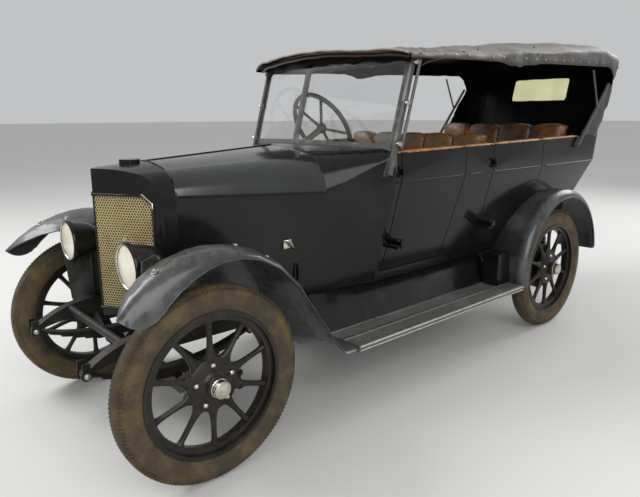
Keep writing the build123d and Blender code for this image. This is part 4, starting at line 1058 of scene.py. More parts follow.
def make_body():
    """Tub, scuttle and doors in old paint, with tan leather along the rail."""
    head = bmesh.new()
    lathed(head, [(0.0042, -0.001), (0.0040, 0.0008), (0.0026, 0.0022), (0, 0.0027)],
           Matrix(), 10)
    nail = shape_of(head, "rail_nail")
    bodies = {"tub": "body", "scuttle": "body", **{door: door for door in DOORS}}
    for node, body in bodies.items():
        polished(node, body, "body_paint", regions=(
            (lambda p, n: n.z > 0.3 and p.y < station(SCUTTLE_END), "top_paint"),
        ))
    for name, side in SIDES.items():
        bm = bmesh.new()
        for start, end in RAIL_SPANS:
            capping(bm, side, start, end)
        piece(f"rail_capping_{name}", bm, "body", "tan_leather", angle=50)
        for part, start, end in TUB_BEADS:
            bead(f"tub_bead_{part}_{name}", "tub", "body", side, start, end)
        studs(f"rail_nails_{name}", nail_spots(side, RAIL_NAILS), nail, "body", "brass")
        for place, (start, end) in DOOR_SPANS.items():
            door = f"door_{place}_{name}"
            bm = bmesh.new()
            capping(bm, side, start, end)
            piece(f"door_capping_{place}_{name}", bm, door, "tan_leather", angle=50)
            bm = bmesh.new()
            foot = side * HANDLE_X
            block(bm, spot(foot, end - 0.05, 1.235), (0.006, 0.05, 0.03), bevel=0.002)
            tube(bm, [spot(foot - side * 0.004, end - 0.05, 1.235),
                      spot(foot - side * 0.024, end - 0.052, 1.235),
                      spot(foot - side * 0.026, end - 0.115, 1.238)], 0.006, 12)
            piece(f"door_handle_{place}_{name}", bm, door, "nickel")
            bead(f"door_bead_{place}_{name}", door, door, side, start + 0.004, end - 0.004)
            nails = nail_spots(side, [start + (end - start) * (k + 0.5) / 7 for k in range(7)])
            studs(f"door_nails_{place}_{name}", nails, nail, door, "brass")
    bpy.data.objects.remove(nail)


# Fenders and running boards

# Front and rear fender arcs: station and level of the centre, and radius, in metres
FENDER_ARCS = {"front_fenders": (0.020, 0.440, 0.530), "rear_fenders": (2.760, 0.435, 0.520)}
FENDER_EDGE = 0.7275
NOSE_END = -0.385
NOSE_LIP = 0.118
NOSE_ROUND = 0.088
TAIL_LEVEL = 0.465
TAIL_ROUND = 0.050
# X and station of the bolts on each front fender
FENDER_BOLTS = ((0.655, -0.215), (0.60, 0.16), (0.62, 0.30))


def corner_prism(corner, along, down, rounding, sweep, margin=0.03):
    """Closed bmesh whose taking away leaves a round corner, swept from sweep[0] to sweep[1].

    The corner lies where the edges along and down end; both point away from the part.
    """
    centre = corner - (along + down) * rounding
    outline = [centre + (along * cos(t) + down * sin(t)) * rounding
               for t in (pi / 2 * k / 12 for k in range(13))]
    outline += [centre + down * (rounding + margin),
                corner + (along + down) * margin, centre + along * (rounding + margin)]
    bm = bmesh.new()
    skinned(bm, [[point + shift for point in outline] for shift in sweep])
    return bm


def nose_cutters():
    """Prisms that round the lower corners of the front fenders' noses."""
    behind, level, reach = FENDER_ARCS["front_fenders"]
    drop = sqrt(reach ** 2 - (NOSE_END - behind) ** 2)
    crown = spot(0, NOSE_END, level + drop)
    down = (spot(0, behind, level) - crown).normalized()
    ahead = Vector((0, down.z, -down.y))
    return [corner_prism(crown + down * NOSE_LIP, ahead, down, NOSE_ROUND,
                         (Vector((side * 0.60, 0, 0)), Vector((side * 0.80, 0, 0))))
            for side in SIDES.values()]


def tail_cutters():
    """Prisms that round the outer corners of the rear fenders' tails."""
    behind, _, reach = FENDER_ARCS["rear_fenders"]
    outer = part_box("rear_fenders")[1].x
    return [corner_prism(Vector((side * outer, 0, TAIL_LEVEL)), Vector((side, 0, 0)),
                         Vector((0, 0, -1)), TAIL_ROUND,
                         (Vector((0, station(behind + reach - 0.12), 0)),
                          Vector((0, station(behind + reach + 0.05), 0))))
            for side in SIDES.values()]


def edge_wire(name, tree, node, first, last):
    """Wire rolled into a fender's outer edge, found by rays out of its arc's centre."""
    behind, level, _ = FENDER_ARCS[node]
    for side_name, side in SIDES.items():
        points = []
        for k in range(73):
            turn = radians(first + (last - first) * k / 72)
            way = Vector((0, cos(turn), sin(turn)))
            found = tree.ray_cast(spot(side * FENDER_EDGE, behind, level), way, 0.62)[0]
            if found:
                points.append(found)
        bm = bmesh.new()
        tube(bm, points, 0.0038, 10)
        piece(f"{name}_{side_name}", bm, "body", "fender_paint", angle=60)


def make_fenders():
    """Fenders with round corners and wired edges, their bolts, and the splash aprons."""
    for node, cutters, first, last in (
        ("front_fenders", nose_cutters(), 132, 36),
        ("rear_fenders", tail_cutters(), 168, 6),
    ):
        bm = carved(merged_copy(node), cutters)
        tree = BVHTree.FromBMesh(bm)
        behind, level, _ = FENDER_ARCS[node]
        hub_y = station(behind)
        polished(node, "body", "fender_paint", angle=40, bm=bm, regions=(
            # Faces turned to the wheels, the fenders' undersides, take the darker colour.
            (lambda p, n: n.y * (p.y - hub_y) + n.z * (p.z - level) < -0.02, "underside_dark"),
        ))
        edge_wire(f"{node}_wire", tree, node, first, last)
    polished("splash_aprons", "body", "body_paint")
    head = bmesh.new()
    lathed(head, [(0.0165, -0.001), (0.0165, 0.0015), (0.0095, 0.002), (0.0095, 0.007),
                  (0.0070, 0.0095), (0, 0.0100)], Matrix(), 20)
    bolt = shape_of(head, "fender_bolt")
    tree = surface_of("front_fenders")
    found = []
    for side in SIDES.values():
        for x, behind in FENDER_BOLTS:
            place, normal, _, _ = tree.ray_cast(spot(side * x, behind, 1.2), Vector((0, 0, -1)))
            if place:
                found.append((place, normal if normal.z > 0 else -normal))
    studs("fender_bolts", found, bolt, "body", "steel")
    bpy.data.objects.remove(bolt)


BOARD_TOP = 0.385
BOARD_START = 0.752
BOARD_END = 2.225
BOARD_MIDDLE_X = 0.617


def make_boards():
    """Running boards with ribbed mats and aluminium strips."""
    polished("running_boards", "body", "board_rubber")
    length = BOARD_END - BOARD_START
    halfway = (BOARD_START + BOARD_END) / 2
    for name, side in SIDES.items():
        bm = bmesh.new()
        for drop, tall in ((0.003, 0.009), (0.022, 0.007)):
            block(bm, spot(side * 0.7305, halfway, BOARD_TOP - drop), (0.006, length, tall),
                  bevel=0.002)
        for x, wide in ((0.724, 0.020), (0.508, 0.014), (BOARD_MIDDLE_X, 0.022)):
            block(bm, spot(side * x, halfway, BOARD_TOP + 0.0015), (wide, length, 0.004),
                  bevel=0.0012)
        piece(f"board_strips_{name}", bm, "body", "aluminium")
        bm = bmesh.new()
        for x in (0.520 + k * 0.0118 for k in range(17)):
            if abs(x - BOARD_MIDDLE_X) > 0.014:
                block(bm, spot(side * x, halfway, BOARD_TOP + 0.0005), (0.0055, length, 0.003),
                      bevel=0.0008, segments=1)
        piece(f"board_mat_{name}", bm, "body", "board_rubber")


# Wheels and tyres

SPOKE_FORM = [
    # radius, half width, half thickness
    (0.096, 0.036, 0.0165), (0.112, 0.031, 0.0165), (0.124, 0.0215, 0.0155),
    (0.138, 0.0165, 0.0145), (0.155, 0.0138, 0.0135), (0.180, 0.0120, 0.0125),
    (0.210, 0.0113, 0.0120), (0.240, 0.0120, 0.0125), (0.256, 0.0145, 0.0140),
    (0.266, 0.0190, 0.0165), (0.274, 0.0240, 0.0190),
]


# Turned profiles: radius, and the place along the axle with plus outwards
RIM = mirrored([
    (0.264, -0.020), (0.2665, -0.024), (0.290, -0.024), (0.290, -0.0385), (0.300, -0.0395),
    (0.3065, -0.0385), (0.3065, -0.035), (0.299, -0.032),
])
HUB = [
    (0.020, -0.042), (0.046, -0.042), (0.046, -0.022), (0.108, -0.0185), (0.112, -0.015),
    (0.112, 0.015), (0.108, 0.0185), (0.060, 0.021), (0.054, 0.025), (0.049, 0.029),
    (0.045, 0.032), (0.045, 0.036), (0.048, 0.038), (0.048, 0.043), (0.045, 0.045),
    (0.045, 0.048), (0.048, 0.050), (0.048, 0.054), (0.044, 0.057), (0.020, 0.057),
]
DRUM = [
    (0.046, -0.034), (0.150, -0.034), (0.154, -0.038), (0.154, -0.082), (0.148, -0.082),
    (0.148, -0.042), (0.046, -0.042),
]
HUB_CAP = [
    (0.034, 0.055), (0.0395, 0.056), (0.0395, 0.063), (0.037, 0.065), (0.037, 0.083),
    (0.0355, 0.0865), (0.030, 0.0895), (0.018, 0.0915), (0, 0.092),
]
TYRE = mirrored([
    (0.299, -0.0315), (0.306, -0.0335), (0.316, -0.0405), (0.330, -0.0462), (0.348, -0.0488),
    (0.364, -0.0483), (0.378, -0.0455), (0.388, -0.0410), (0.3905, -0.0405), (0.3925, -0.0375),
    (0.4000, -0.0315), (0.4040, -0.0290), (0.4055, -0.0262), (0.4085, -0.0180),
    (0.4098, -0.0080),
])
WHEEL_BOLT = [(0, 0.0), (0.0125, 0.0), (0.0125, 0.006), (0.0105, 0.0125), (0.0055, 0.0165),
              (0, 0.0175)]
# Lugs of one shoulder: radius, distance from the tyre's middle, and width
LUGS = ((0.4024, 0.0278, 0.016), (0.3924, 0.0392, 0.012))
LUG_LEAN = 0.62


def turned(name, parts, body, finish, angle=35):
    """Piece of surfaces of revolution, each a profile, its place, its steps and if it closes."""
    bm = bmesh.new()
    for part in parts:
        lathed(bm, *part)
    return piece(name, bm, body, finish, angle)


def wheel_shapes():
    """Spoke, lugs and bolt that the rings copy."""
    bm = bmesh.new()
    skinned(bm, [[Vector((thick * sin(t), wide * cos(t), radius))
                  for t in (2 * pi * k / 16 for k in range(16))]
                 for radius, wide, thick in SPOKE_FORM])
    spoke = shape_of(bm, "wheel_spoke")
    bm = bmesh.new()
    for side in (1, -1):
        for radius, out, wide in LUGS:
            block(bm, (side * out, 0, radius), (wide, 0.0092, 0.0065),
                  Matrix.Rotation(side * LUG_LEAN, 3, "Y"), bevel=0.0012, segments=1)
    lug = shape_of(bm, "tyre_lug")
    bm = bmesh.new()
    lathed(bm, WHEEL_BOLT, placed((0.018, 0, 0.085), (1, 0, 0)), 16)
    return spoke, lug, shape_of(bm, "wheel_bolt")


def make_wheels():
    """Spoked wheels with nickel caps, and tyres with ribbed shoulders."""
    spoke, lug, bolt = wheel_shapes()
    lugs = settings("tyre").lugs
    for axle in AXLES:
        for name, side in SIDES.items():
            body = f"wheel_{axle}_{name}"
            hub = hub_of(axle, name)
            place = Matrix.Translation(hub) @ Matrix.Diagonal((side, 1, 1, 1))
            out = placed(hub, (side, 0, 0))
            grown(f"spokes_{axle}_{name}", "Ring array", {"Shape": spoke, "Count": 10},
                  body, "wheel_paint", place=place, angle=50)
            parts = [(RIM, out, 120, True), (HUB, out, 72)]
            if axle == "rear":
                parts.append((DRUM, out, 96))
            turned(f"rim_{axle}_{name}", parts, body, "wheel_paint", 40)
            cap = turned(f"hub_cap_{axle}_{name}", [(HUB_CAP, out, 72)], body, "nickel")
            grown(f"wheel_bolts_{axle}_{name}", "Ring array",
                  {"Shape": bolt, "Count": 5, "Start": 0.052}, body, "nickel", place=place)
            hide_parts(body)
            tyre = turned(f"tyre_skin_{axle}_{name}", [(TYRE, out, 160, True)], body, "rubber", 50)
            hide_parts(f"tyre_{axle}_{name}")
            grown(f"tyre_tread_{axle}_{name}", "Ring array", {"Shape": lug, "Count": lugs},
                  body, "rubber", place=place)
    for shape in (spoke, lug, bolt):
        bpy.data.objects.remove(shape)


# Middle of the frame's side rails
FRAME_RAIL_X = 0.325


# Lamps

LAMP_X = 0.340
LAMP_BEHIND = -0.180
LAMP_LEVEL = 0.863


BOWL = [
    (0.0, -0.155), (0.024, -0.1525), (0.044, -0.143), (0.060, -0.127), (0.073, -0.103),
    (0.082, -0.075), (0.0875, -0.047), (0.090, -0.025), (0.0915, -0.012), (0.0915, -0.008),
    (0.0, -0.008),
]
LAMP_RIM = [
    (0.0885, 0.004), (0.0905, 0.0085), (0.0945, 0.0105), (0.0985, 0.0085), (0.1003, 0.003),
    (0.1003, -0.010), (0.0985, -0.0135), (0.0915, -0.0145), (0.0895, -0.006),
]
LATCH = [(0, 0), (0.010, 0), (0.010, 0.008), (0.013, 0.011), (0.013, 0.017), (0.009, 0.021),
         (0, 0.022)]
BEZEL = [(0.0885, 0.0065), (0.0900, 0.0092), (0.0922, 0.0108), (0.0938, 0.0112),
         (0.0925, 0.0096), (0.0900, 0.0080)]
LATCH_KNOB = [(0, 0), (0.0105, 0), (0.0105, 0.007), (0.0075, 0.0105), (0, 0.0115)]
LENS = [(0.090, 0.0), (0.0895, 0.004), (0.075, 0.0085), (0.050, 0.0125), (0.025, 0.0148),
        (0.0, 0.0155)]


def make_lamps():
    """Headlamps: black bowl, dark rim with its latch, nickel bezel and cream glass."""
    for name, side in SIDES.items():
        centre = spot(side * LAMP_X, LAMP_BEHIND, LAMP_LEVEL)
        ahead = placed(centre, (0, -1, 0))
        latch = centre + Vector((0, 0.004, 0.098))
        post_y = (centre + Vector((0, 0.095, 0))).y
        bm = bmesh.new()
        lathed(bm, BOWL, ahead, 72)
        block(bm, (centre.x, post_y, 0.70), (0.046, 0.012, 0.25), bevel=0.003)
        block(bm, (side * FRAME_RAIL_X, post_y, 0.574), (0.052, 0.052, 0.009), bevel=0.003)
        skin = piece(f"lamp_bowl_{name}", bm, "body", "shell_paint", angle=40)
        turned(f"lamp_rim_{name}", [(LAMP_RIM, ahead, 96, True),
                                    (LATCH, placed(latch, (0, 0, 1)), 24)],
               "body", "shell_paint", 40)
        knob = placed(latch + Vector((0.0, -0.004, 0.012)), (0, -0.4, 1))
        turned(f"lamp_bezel_{name}", [(BEZEL, ahead, 96, True), (LATCH_KNOB, knob, 20)],
               "body", "nickel", 40)
        glass = turned(f"lamp_glass_{name}", [(LENS, ahead), ([(0.090, -0.001), (0.0, -0.001)],
                                                              ahead)], "body", "lamp_glass", 60)
        if side > 0:
            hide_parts("headlamps")
            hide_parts("headlamp_glass")


# Windscreen

def make_screen():
    """Windscreen frame with its knobs, and the panes."""
    polished("windscreen_frame", "body", "screen_metal")
    dressed(windscreen_glass="pane_glass")
    knob = [(0, -0.004), (0.009, -0.004), (0.009, 0.006), (0.013, 0.008), (0.014, 0.014),
            (0.010, 0.020), (0, 0.022)]
    for name, side in SIDES.items():
        centres = [spot(side * 0.604, 1.120 + 0.28 * rise, 1.285 + rise)
                   for rise in (0.448 * part for part in (0.06, 0.5, 0.94))]
        turned(f"screen_knobs_{name}", [(knob, placed(centre, (side, 0, 0)), 20)
                                        for centre in centres], "body", "nickel")


# Chassis

SPRING_EYES = (-0.385, 0.385, 2.2, 3.2)


def make_chassis():
    """Frame, springs and axles in iron paint, and the eye bolts."""
    for node in ("frame", "springs", "front_axle", "rear_axle"):
        polished(node, "body", "iron_paint")
    dressed(engine="engine_iron")
    for node in (*(f"knuckle_{name}" for name in SIDES), "tie_rod"):
        polished(node, node, "iron_paint")
    eye = [(0, 0), (0.0135, 0), (0.0135, 0.007), (0.011, 0.012), (0.005, 0.015), (0, 0.0155)]
    turned("eye_bolts", [
        (eye, placed(spot(side * FRAME_RAIL_X + out * 0.031, behind, 0.462), (out, 0, 0)), 20)
        for side in SIDES.values() for behind in SPRING_EYES for out in (-1, 1)
    ], "body", "steel")


# Canopy

BOWS = (1.62, 2.20, 2.78, 3.30)
BOW_HALF = 0.700
BOW_SWEEP = 0.155
CANOPY_FRONT = 1.040
# Side hem: its level in front, its slope, and where it starts
HEM = (1.718, 0.028, CANOPY_FRONT)
# Where the hem puckers and droops: station, half length and depth
PUCKER = (2.15, 0.16, 0.026)


def hem_level(behind):
    """Level of the canopy's side hem."""
    low, slope, start = HEM
    return low + slope * (behind - start)


# Where the cloth is held from front to rear, and where its rear quarters start
HELD_AT = (1.045, *BOWS, 3.66)
QUARTER_START = 3.2
QUARTER_X = 0.5
SAG = 0.013
FOLD_DEPTH = 0.0050
FOLD_PITCH = 0.082
SHOULDER_SWELL = 0.016
SIDE_RIPPLE = 0.0055
REAR_RIPPLE = 0.0035
CRUMPLE = 0.013


def folded(vert):
    """Where a canopy point goes: sags between the bows, tension folds and puckers."""
    place = vert.co
    behind = place.y - FRONT_AXLE_Y
    roof = max(0.0, vert.normal.z)
    shift = 0.0
    for start, end in zip(HELD_AT, HELD_AT[1:]):
        if start <= behind < end:
            along = (behind - start) / (end - start)
            shift -= SAG * roof * 4 * along * (1 - along)
    shift += 0.0045 * noise_of(Vector((place.x * 11, place.y * 1.6, place.z * 5)))
    pulled = roof * max(0.0, min(1.0, (2.5 - behind) / 0.9, (behind - 1.22) / 0.25))
    fan = abs(place.x) - 0.10 * (behind - 1.04)
    shift += FOLD_DEPTH * pulled * sin(2 * pi * fan / FOLD_PITCH + 2.2 * noise_of(place * 3.0))
    shift += 0.0030 * noise_of(Vector((place.x * 4 + 9, place.y * 7, place.z * 4)))
    if 1.7 < behind < 3.45:
        shoulder = max(0.0, 1 - abs(roof - 0.6) / 0.35)
        shift += SHOULDER_SWELL * shoulder * min(1.0, (behind - 1.7) / 0.4, (3.45 - behind) / 0.2)
    if behind < QUARTER_START:
        side_part = max(0.0, min(1.0, (1.83 - place.z) / 0.10)) * (1 - roof)
        wave = sin(2 * pi * behind / 0.23 + 1.9 * sin(behind * 3.1))
        shift += side_part * (SIDE_RIPPLE * wave - 0.003)
    else:
        across = place.x if abs(place.x) < QUARTER_X else behind
        wave = sin(2 * pi * across / 0.19 + 2.0 * sin(place.z * 4))
        shift += (1 - roof) * (REAR_RIPPLE * wave - 0.003)
        if abs(place.x) > QUARTER_X and place.z < 1.75:
            crumple = noise_of(Vector((behind * 15, place.z * 10, 4.0)))
            crumple += 0.5 * noise_of(Vector((behind * 31, place.z * 24, 9.0)))
            shift += CRUMPLE * crumple * (1 - roof)
    droop = exp(-((behind - PUCKER[0]) / PUCKER[1]) ** 2) if abs(place.x) > QUARTER_X else 0.0
    droop *= max(0.0, min(1.0, (hem_level(behind) + 0.05 - place.z) / 0.05))
    droop *= PUCKER[2] * (1 + 0.8 * noise_of(Vector((behind * 16, place.x, 2.0))))
    return place + vert.normal * (shift + 0.3 * droop) - Vector((0, 0, droop))


# Size of the cloth's faces, and how often it is smoothed before it is folded
CLOTH_FACE = 0.030
CLOTH_SMOOTHINGS = 10


def limits(verts):
    """Lowest and highest corner of the box round some vertices."""
    return [Vector([pick(vert.co[i] for vert in verts) for i in range(3)]) for pick in (min, max)]


def canopy_skin():
    """Bmesh of the canopy's outer face, cut fine, smoothed and laid in folds."""
    bm = merged_copy("canopy")
    core_y = station(QUARTER_START)
    dropped = []
    for face in bm.faces:
        centre = face.calc_center_median()
        core = Vector((0, min(centre.y, core_y), 1.65))
        outside = face.normal.dot(centre - core) > 0.02
        if not (outside and face.normal.z > -0.5 and face.normal.y > -0.7):
            dropped.append(face)
    bmesh.ops.delete(bm, geom=dropped, context="FACES")
    low, high = limits(bm.verts)
    for axis in range(3):
        normal = Vector([1.0 if i == axis else 0.0 for i in range(3)])
        count = int((high[axis] - low[axis]) / CLOTH_FACE)
        for k in range(1, count):
            point = low + normal * (high[axis] - low[axis]) * k / count
            bmesh.ops.bisect_plane(bm, geom=bm.verts[:] + bm.edges[:] + bm.faces[:],
                                   plane_co=point, plane_no=normal, dist=1e-5)
    bmesh.ops.remove_doubles(bm, verts=bm.verts, dist=0.006)
    inner = [v for v in bm.verts if not v.is_boundary]
    for _ in range(CLOTH_SMOOTHINGS):
        bmesh.ops.smooth_vert(bm, verts=inner, factor=0.5, use_axis_x=True, use_axis_y=True,
                              use_axis_z=True)
    bm.normal_update()
    places = [folded(vert) for vert in bm.verts]
    for vert, place in zip(bm.verts, places):
        vert.co = place
    return bm


def thickened(bm, name, thick, finishes):
    """Object for an open sheet given its thickness; the finishes are outside and inside."""
    creased(bm, 60)
    data = mesh_of(bm, name)
    source = linked(f"{name}_source", data)
    wall = source.modifiers.new("thickness", "SOLIDIFY")
    wall.thickness = thick
    wall.offset = -1
    wall.material_offset = 1
    wall.material_offset_rim = 0
    for finish in finishes:
        data.materials.append(FINISH[finish])
    solid = evaluated(source)
    bpy.data.objects.remove(source)
    made = linked(name, solid)
    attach(made, "body")
    return made


def swept(x):
    """How far the canopy's front edge and its bow lie back at a distance from the middle."""
    return BOW_SWEEP * (x / BOW_HALF) ** 2


def roof_at(tree, x, behind, under=0.0):
    """Point on the roof above a place, or a little under it."""
    found = tree.ray_cast(spot(x, behind, 2.3), Vector((0, 0, -1)))[0]
    return found - Vector((0, 0, under)) if found else None


def roof_line(tree, half, steps, behind_at, under):
    """Points of a line across the roof, a little under it."""
    places = [roof_at(tree, x, behind_at(x), under)
              for x in (half * k / steps for k in range(-steps, steps + 1))]
    return [place for place in places if place]


def make_bows(tree):
    """Piping along the front edge, and the bows with the front one under it."""
    bm = bmesh.new()
    front = roof_line(tree, 0.628, 24, lambda x: CANOPY_FRONT + swept(x) + 0.012, 0.001)
    tube(bm, [place - Vector((0, 0.010, 0)) for place in front], 0.0055, 12)
    piece("canopy_piping", bm, "body", "faded_cloth", angle=60)
    bm = bmesh.new()
    for behind in BOWS[:3]:
        arch = roof_line(tree, 0.615, 16, lambda x: behind, 0.024)
        foot = hem_level(behind) + 0.045
        ends = [Vector((side * 0.622, station(behind), foot)) for side in (-1, 1)]
        tube(bm, [ends[0], *arch, ends[1]], 0.012, 12, flat=0.8)
    tube(bm, roof_line(tree, 0.60, 16, lambda x: 1.085 + swept(x), 0.022), 0.012, 12, flat=0.8)
    piece("canopy_bows", bm, "body", "dash_wood", angle=60)


def make_flap(tree):
    """Inner flap that hangs behind the canopy's front edge."""
    bm = bmesh.new()
    rows = []
    for row in range(5):
        drop = 0.006 + row / 4
        line = []
        for k in range(-40, 41):
            x = 0.590 * k / 40
            top = roof_at(tree, x, 1.118 + swept(x), 0.012)
            depth = 0.050 + 0.010 * sin(9 * x + 0.6) + 0.006 * sin(31 * x)
            swing = 0.008 * sin(26 * x + 1.1) * row / 4
            line.append(bm.verts.new(top + Vector((0, swing, -depth * drop))))
        rows.append(line)
    for upper, lower in zip(rows, rows[1:]):
        for k in range(len(upper) - 1):
            bm.faces.new((upper[k], upper[k + 1], lower[k + 1], lower[k]))
    flap_area = sum(face.calc_area() for face in bm.faces)
    flap = thickened(bm, "inner_flap", 0.002, ("lining_cloth", "lining_cloth"))


def make_snaps(tree):
    """Snaps along the canopy's side hems."""
    head = bmesh.new()
    lathed(head, [(0.0065, -0.001), (0.0062, 0.0015), (0.0040, 0.0032), (0, 0.0037)], Matrix(), 12)
    snap = shape_of(head, "hem_snap")
    found = []
    for side in SIDES.values():
        for behind in (1.30 + 0.115 * k for k in range(18)):
            place, normal, _, _ = tree.ray_cast(
                spot(side * 0.9, behind, hem_level(behind) + 0.024), Vector((-side, 0, 0)), 0.5)
            if place:
                found.append((place, normal if normal.x * side > 0 else -normal))
    studs("hem_snaps", found, snap, "body", "steel")
    bpy.data.objects.remove(snap)


def make_canopy():
    """Cloth canopy with its bows, piping, inner flap, irons and rear window."""
    bm = canopy_skin()
    flat_area = sum(face.calc_area() for face in bm.faces)
    tree = BVHTree.FromBMesh(bm)
    sheet = thickened(bm, "canopy_sheet", 0.003, ("canopy_cloth", "lining_cloth"))
    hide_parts("canopy")
    make_bows(tree)
    make_flap(tree)
    make_snaps(tree)
    dressed(rear_window="window_cream", canopy_irons="screen_metal")


# Seats

# Least gap between the padding before it swells and its box, and after it has swollen
SWELL_ROOM = 0.013
SWOLLEN_GAP = 0.003
PADDING_NET = 0.010
PADDING_PRESSURE = 4.0
PADDING_FRAMES = 20
# How squarely the rolls bulge, and how deep and how far down their tops are scalloped
ROLL_POWER = 2.6
SCALLOP = 0.030
SCALLOP_REACH = 0.07


def swollen(name, node, keep, cap):
    """Object for one solid of a node, swollen as padding under its cover."""
    bm = merged_copy(node)
    bmesh.ops.delete(bm, geom=[v for v in bm.verts if not keep(v.co)], context="VERTS")
    low, high = limits(bm.verts)
    centre = (low + high) / 2
    inset = 2 * SWELL_ROOM
    for vert in bm.verts:
        for i in range(3):
            size_now = high[i] - low[i]
            vert.co[i] = centre[i] + (vert.co[i] - centre[i]) * (size_now - inset) / size_now
    made = linked(name, mesh_of(bm, name))
    net = made.modifiers.new("net", "REMESH")
    net.mode = "VOXEL"
    net.voxel_size = PADDING_NET
    made.data = evaluated(made)
    made.modifiers.clear()
    rest = [vert.co.copy() for vert in made.data.vertices]
    cloth = made.modifiers.new("cover", "CLOTH")
    cloth.settings.use_pressure = True
    cloth.settings.uniform_pressure_force = PADDING_PRESSURE
    cloth.settings.effector_weights.gravity = 0.0
    for number in range(1, PADDING_FRAMES + 1):
        bpy.context.scene.frame_set(number)
    puffed = evaluated(made)
    made.modifiers.clear()
    bpy.context.scene.frame_set(1)
    for vert, before, after in zip(made.data.vertices, rest, puffed.vertices):
        move = after.co - before
        if move.length > cap:
            move *= cap / move.length
        vert.co = before + move
    verts = made.data.vertices
    lowest, highest = limits(verts)
    for axis in range(3):
        stretch = (high[axis] - low[axis] - 2 * SWOLLEN_GAP) / (highest[axis] - lowest[axis])
        for vert in verts:
            vert.co[axis] = low[axis] + SWOLLEN_GAP + (vert.co[axis] - lowest[axis]) * stretch
    fine = made.modifiers.new("fine", "SUBSURF")
    fine.levels = fine.render_levels = 1
    made.data = evaluated(made)
    made.modifiers.clear()
    return made, low, high


def make_seats():
    """Leather cushions and backs, swollen and sewn into rolls."""
    middle_of = {node: middle(node).y for node in ("seat_cushions", "seat_backs")}
    for name, node, front, finish, rolls, depth, cap in (
        ("front_cushion", "seat_cushions", True, "front_leather", 5, 0.014, 0.018),
        ("rear_cushion", "seat_cushions", False, "rear_leather", 5, 0.014, 0.018),
        ("front_back", "seat_backs", True, "front_leather", 5, 0.032, 0.014),
        ("rear_back", "seat_backs", False, "rear_leather", 4, 0.032, 0.014),
    ):
        divide = middle_of[node]
        made, low, high = swollen(name, node, lambda p: (p.y < divide) == front, cap)
        data = made.data
        pitch = (high.x - low.x) / rolls
        normals = [vert.normal.copy() for vert in data.vertices]
        for vert, normal in zip(data.vertices, normals):
            turn = (vert.co.x - low.x) / pitch
            off = abs(turn - round(turn))
            groove = 1 - sqrt(max(0.0, 1 - (1 - min(1.0, off / 0.5)) ** ROLL_POWER))
            if node == "seat_backs":
                weight = max(0.0, -normal.y) + max(0.0, normal.z) + 0.6 * max(0.0, normal.y)
            else:
                weight = max(0.0, normal.z) + 0.7 * max(0.0, -normal.y)
            vert.co -= normal * (depth * groove * min(1.0, weight))
            near_top = max(0.0, (vert.co.z - (high.z - SCALLOP_REACH)) / SCALLOP_REACH)
            if node == "seat_backs":
                vert.co.z -= SCALLOP * groove * near_top
        for poly in data.polygons:
            poly.use_smooth = True
        data.materials.clear()
        data.materials.append(FINISH[finish])
        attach(made, "body")
        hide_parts(node)


# Inside and small things

STEERING_HUB = (-0.330, 1.458, 1.373)
STEERING_SLOPE = radians(29.5)
STEERING_RADIUS = 0.235
RIM_THICKNESS = 0.0145
# X and radius of each dial
DIALS = ((-0.06, 0.042), (0.06, 0.042), (0.17, 0.028))


def make_inside():
    """Steering wheel, dashboard with its dials, levers and boards."""
    axis = Vector((0, cos(STEERING_SLOPE), sin(STEERING_SLOPE)))
    place = placed(spot(*STEERING_HUB), axis, (1, 0, 0))
    ring = [(STEERING_RADIUS + RIM_THICKNESS * cos(t), RIM_THICKNESS * sin(t))
            for t in (2 * pi * k / 20 for k in range(20))]
    rim = turned("steering_rim", [(ring, place, 96, True)], "steering_wheel", "wheel_black", 60)
    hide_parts("steering_wheel")
    bm = bmesh.new()
    for turn in (radians(9 + 72 * k) for k in range(5)):
        way = Vector((cos(turn), sin(turn), 0))
        tube(bm, [place @ (way * r + Vector((0, 0, h))) for r, h in
                  ((0.020, -0.002), (0.060, -0.004), (0.160, -0.003), (0.228, 0.0))], 0.0095, 12,
             flat=0.6)
    lathed(bm, [(0, -0.028), (0.024, -0.028), (0.034, -0.012), (0.034, 0.008), (0.026, 0.014),
                (0.022, 0.022), (0.012, 0.026), (0, 0.027)], place, 40)
    piece("steering_spokes", bm, "steering_wheel", "wheel_black")
    dressed(steering_column="old_plating", levers="iron_paint", floor="floor_wood",
            dashboard="dash_wood")
    rims, faces = [], []
    for x, radius in DIALS:
        dial = placed(spot(x, 1.098, 1.238), (0, 1, 0))
        face = radius - 0.004
        rims.append(([(radius - 0.006, 0.0), (radius - 0.006, 0.006), (radius, 0.008),
                      (radius + 0.003, 0.004), (radius + 0.003, 0.0)], dial, 40, True))
        faces.append(([(face, 0.0), (face, 0.003), (0, 0.003)], dial, 40))
    turned("dial_rims", rims, "body", "nickel")
    turned("dial_faces", faces, "body", "shell_paint")
    polished("toolbox", "body", "shell_paint")


# Operators, panel and registration

class CAR_OT_stage(bpy.types.Operator):
    """Sets the pale floor, the soft light and the camera"""

    bl_idname = "car.stage"
    bl_label = "Stage"

    def execute(self, context):
        make_stage()
        return {"FINISHED"}


class CAR_OT_finishes(bpy.types.Operator):
    """Makes every finish and the trees for what repeats"""

    bl_idname = "car.finishes"
    bl_label = "Finishes"

    def execute(self, context):
        FINISH.update(make_materials())
        ring_tree()
        cell_tree()
        scatter_tree()
        return {"FINISHED"}


class CAR_OT_radiator(bpy.types.Operator):
    """Makes the radiator's honeycomb, moulding, shell and filler cap"""

    bl_idname = "car.radiator"
    bl_label = "Radiator"

    def execute(self, context):
        make_radiator()
        return {"FINISHED"}


class CAR_OT_bonnet(bpy.types.Operator):
    """Makes the bonnet with its hinges, latches and catches"""

    bl_idname = "car.bonnet"
    bl_label = "Bonnet"

    def execute(self, context):
        make_bonnet()
        return {"FINISHED"}


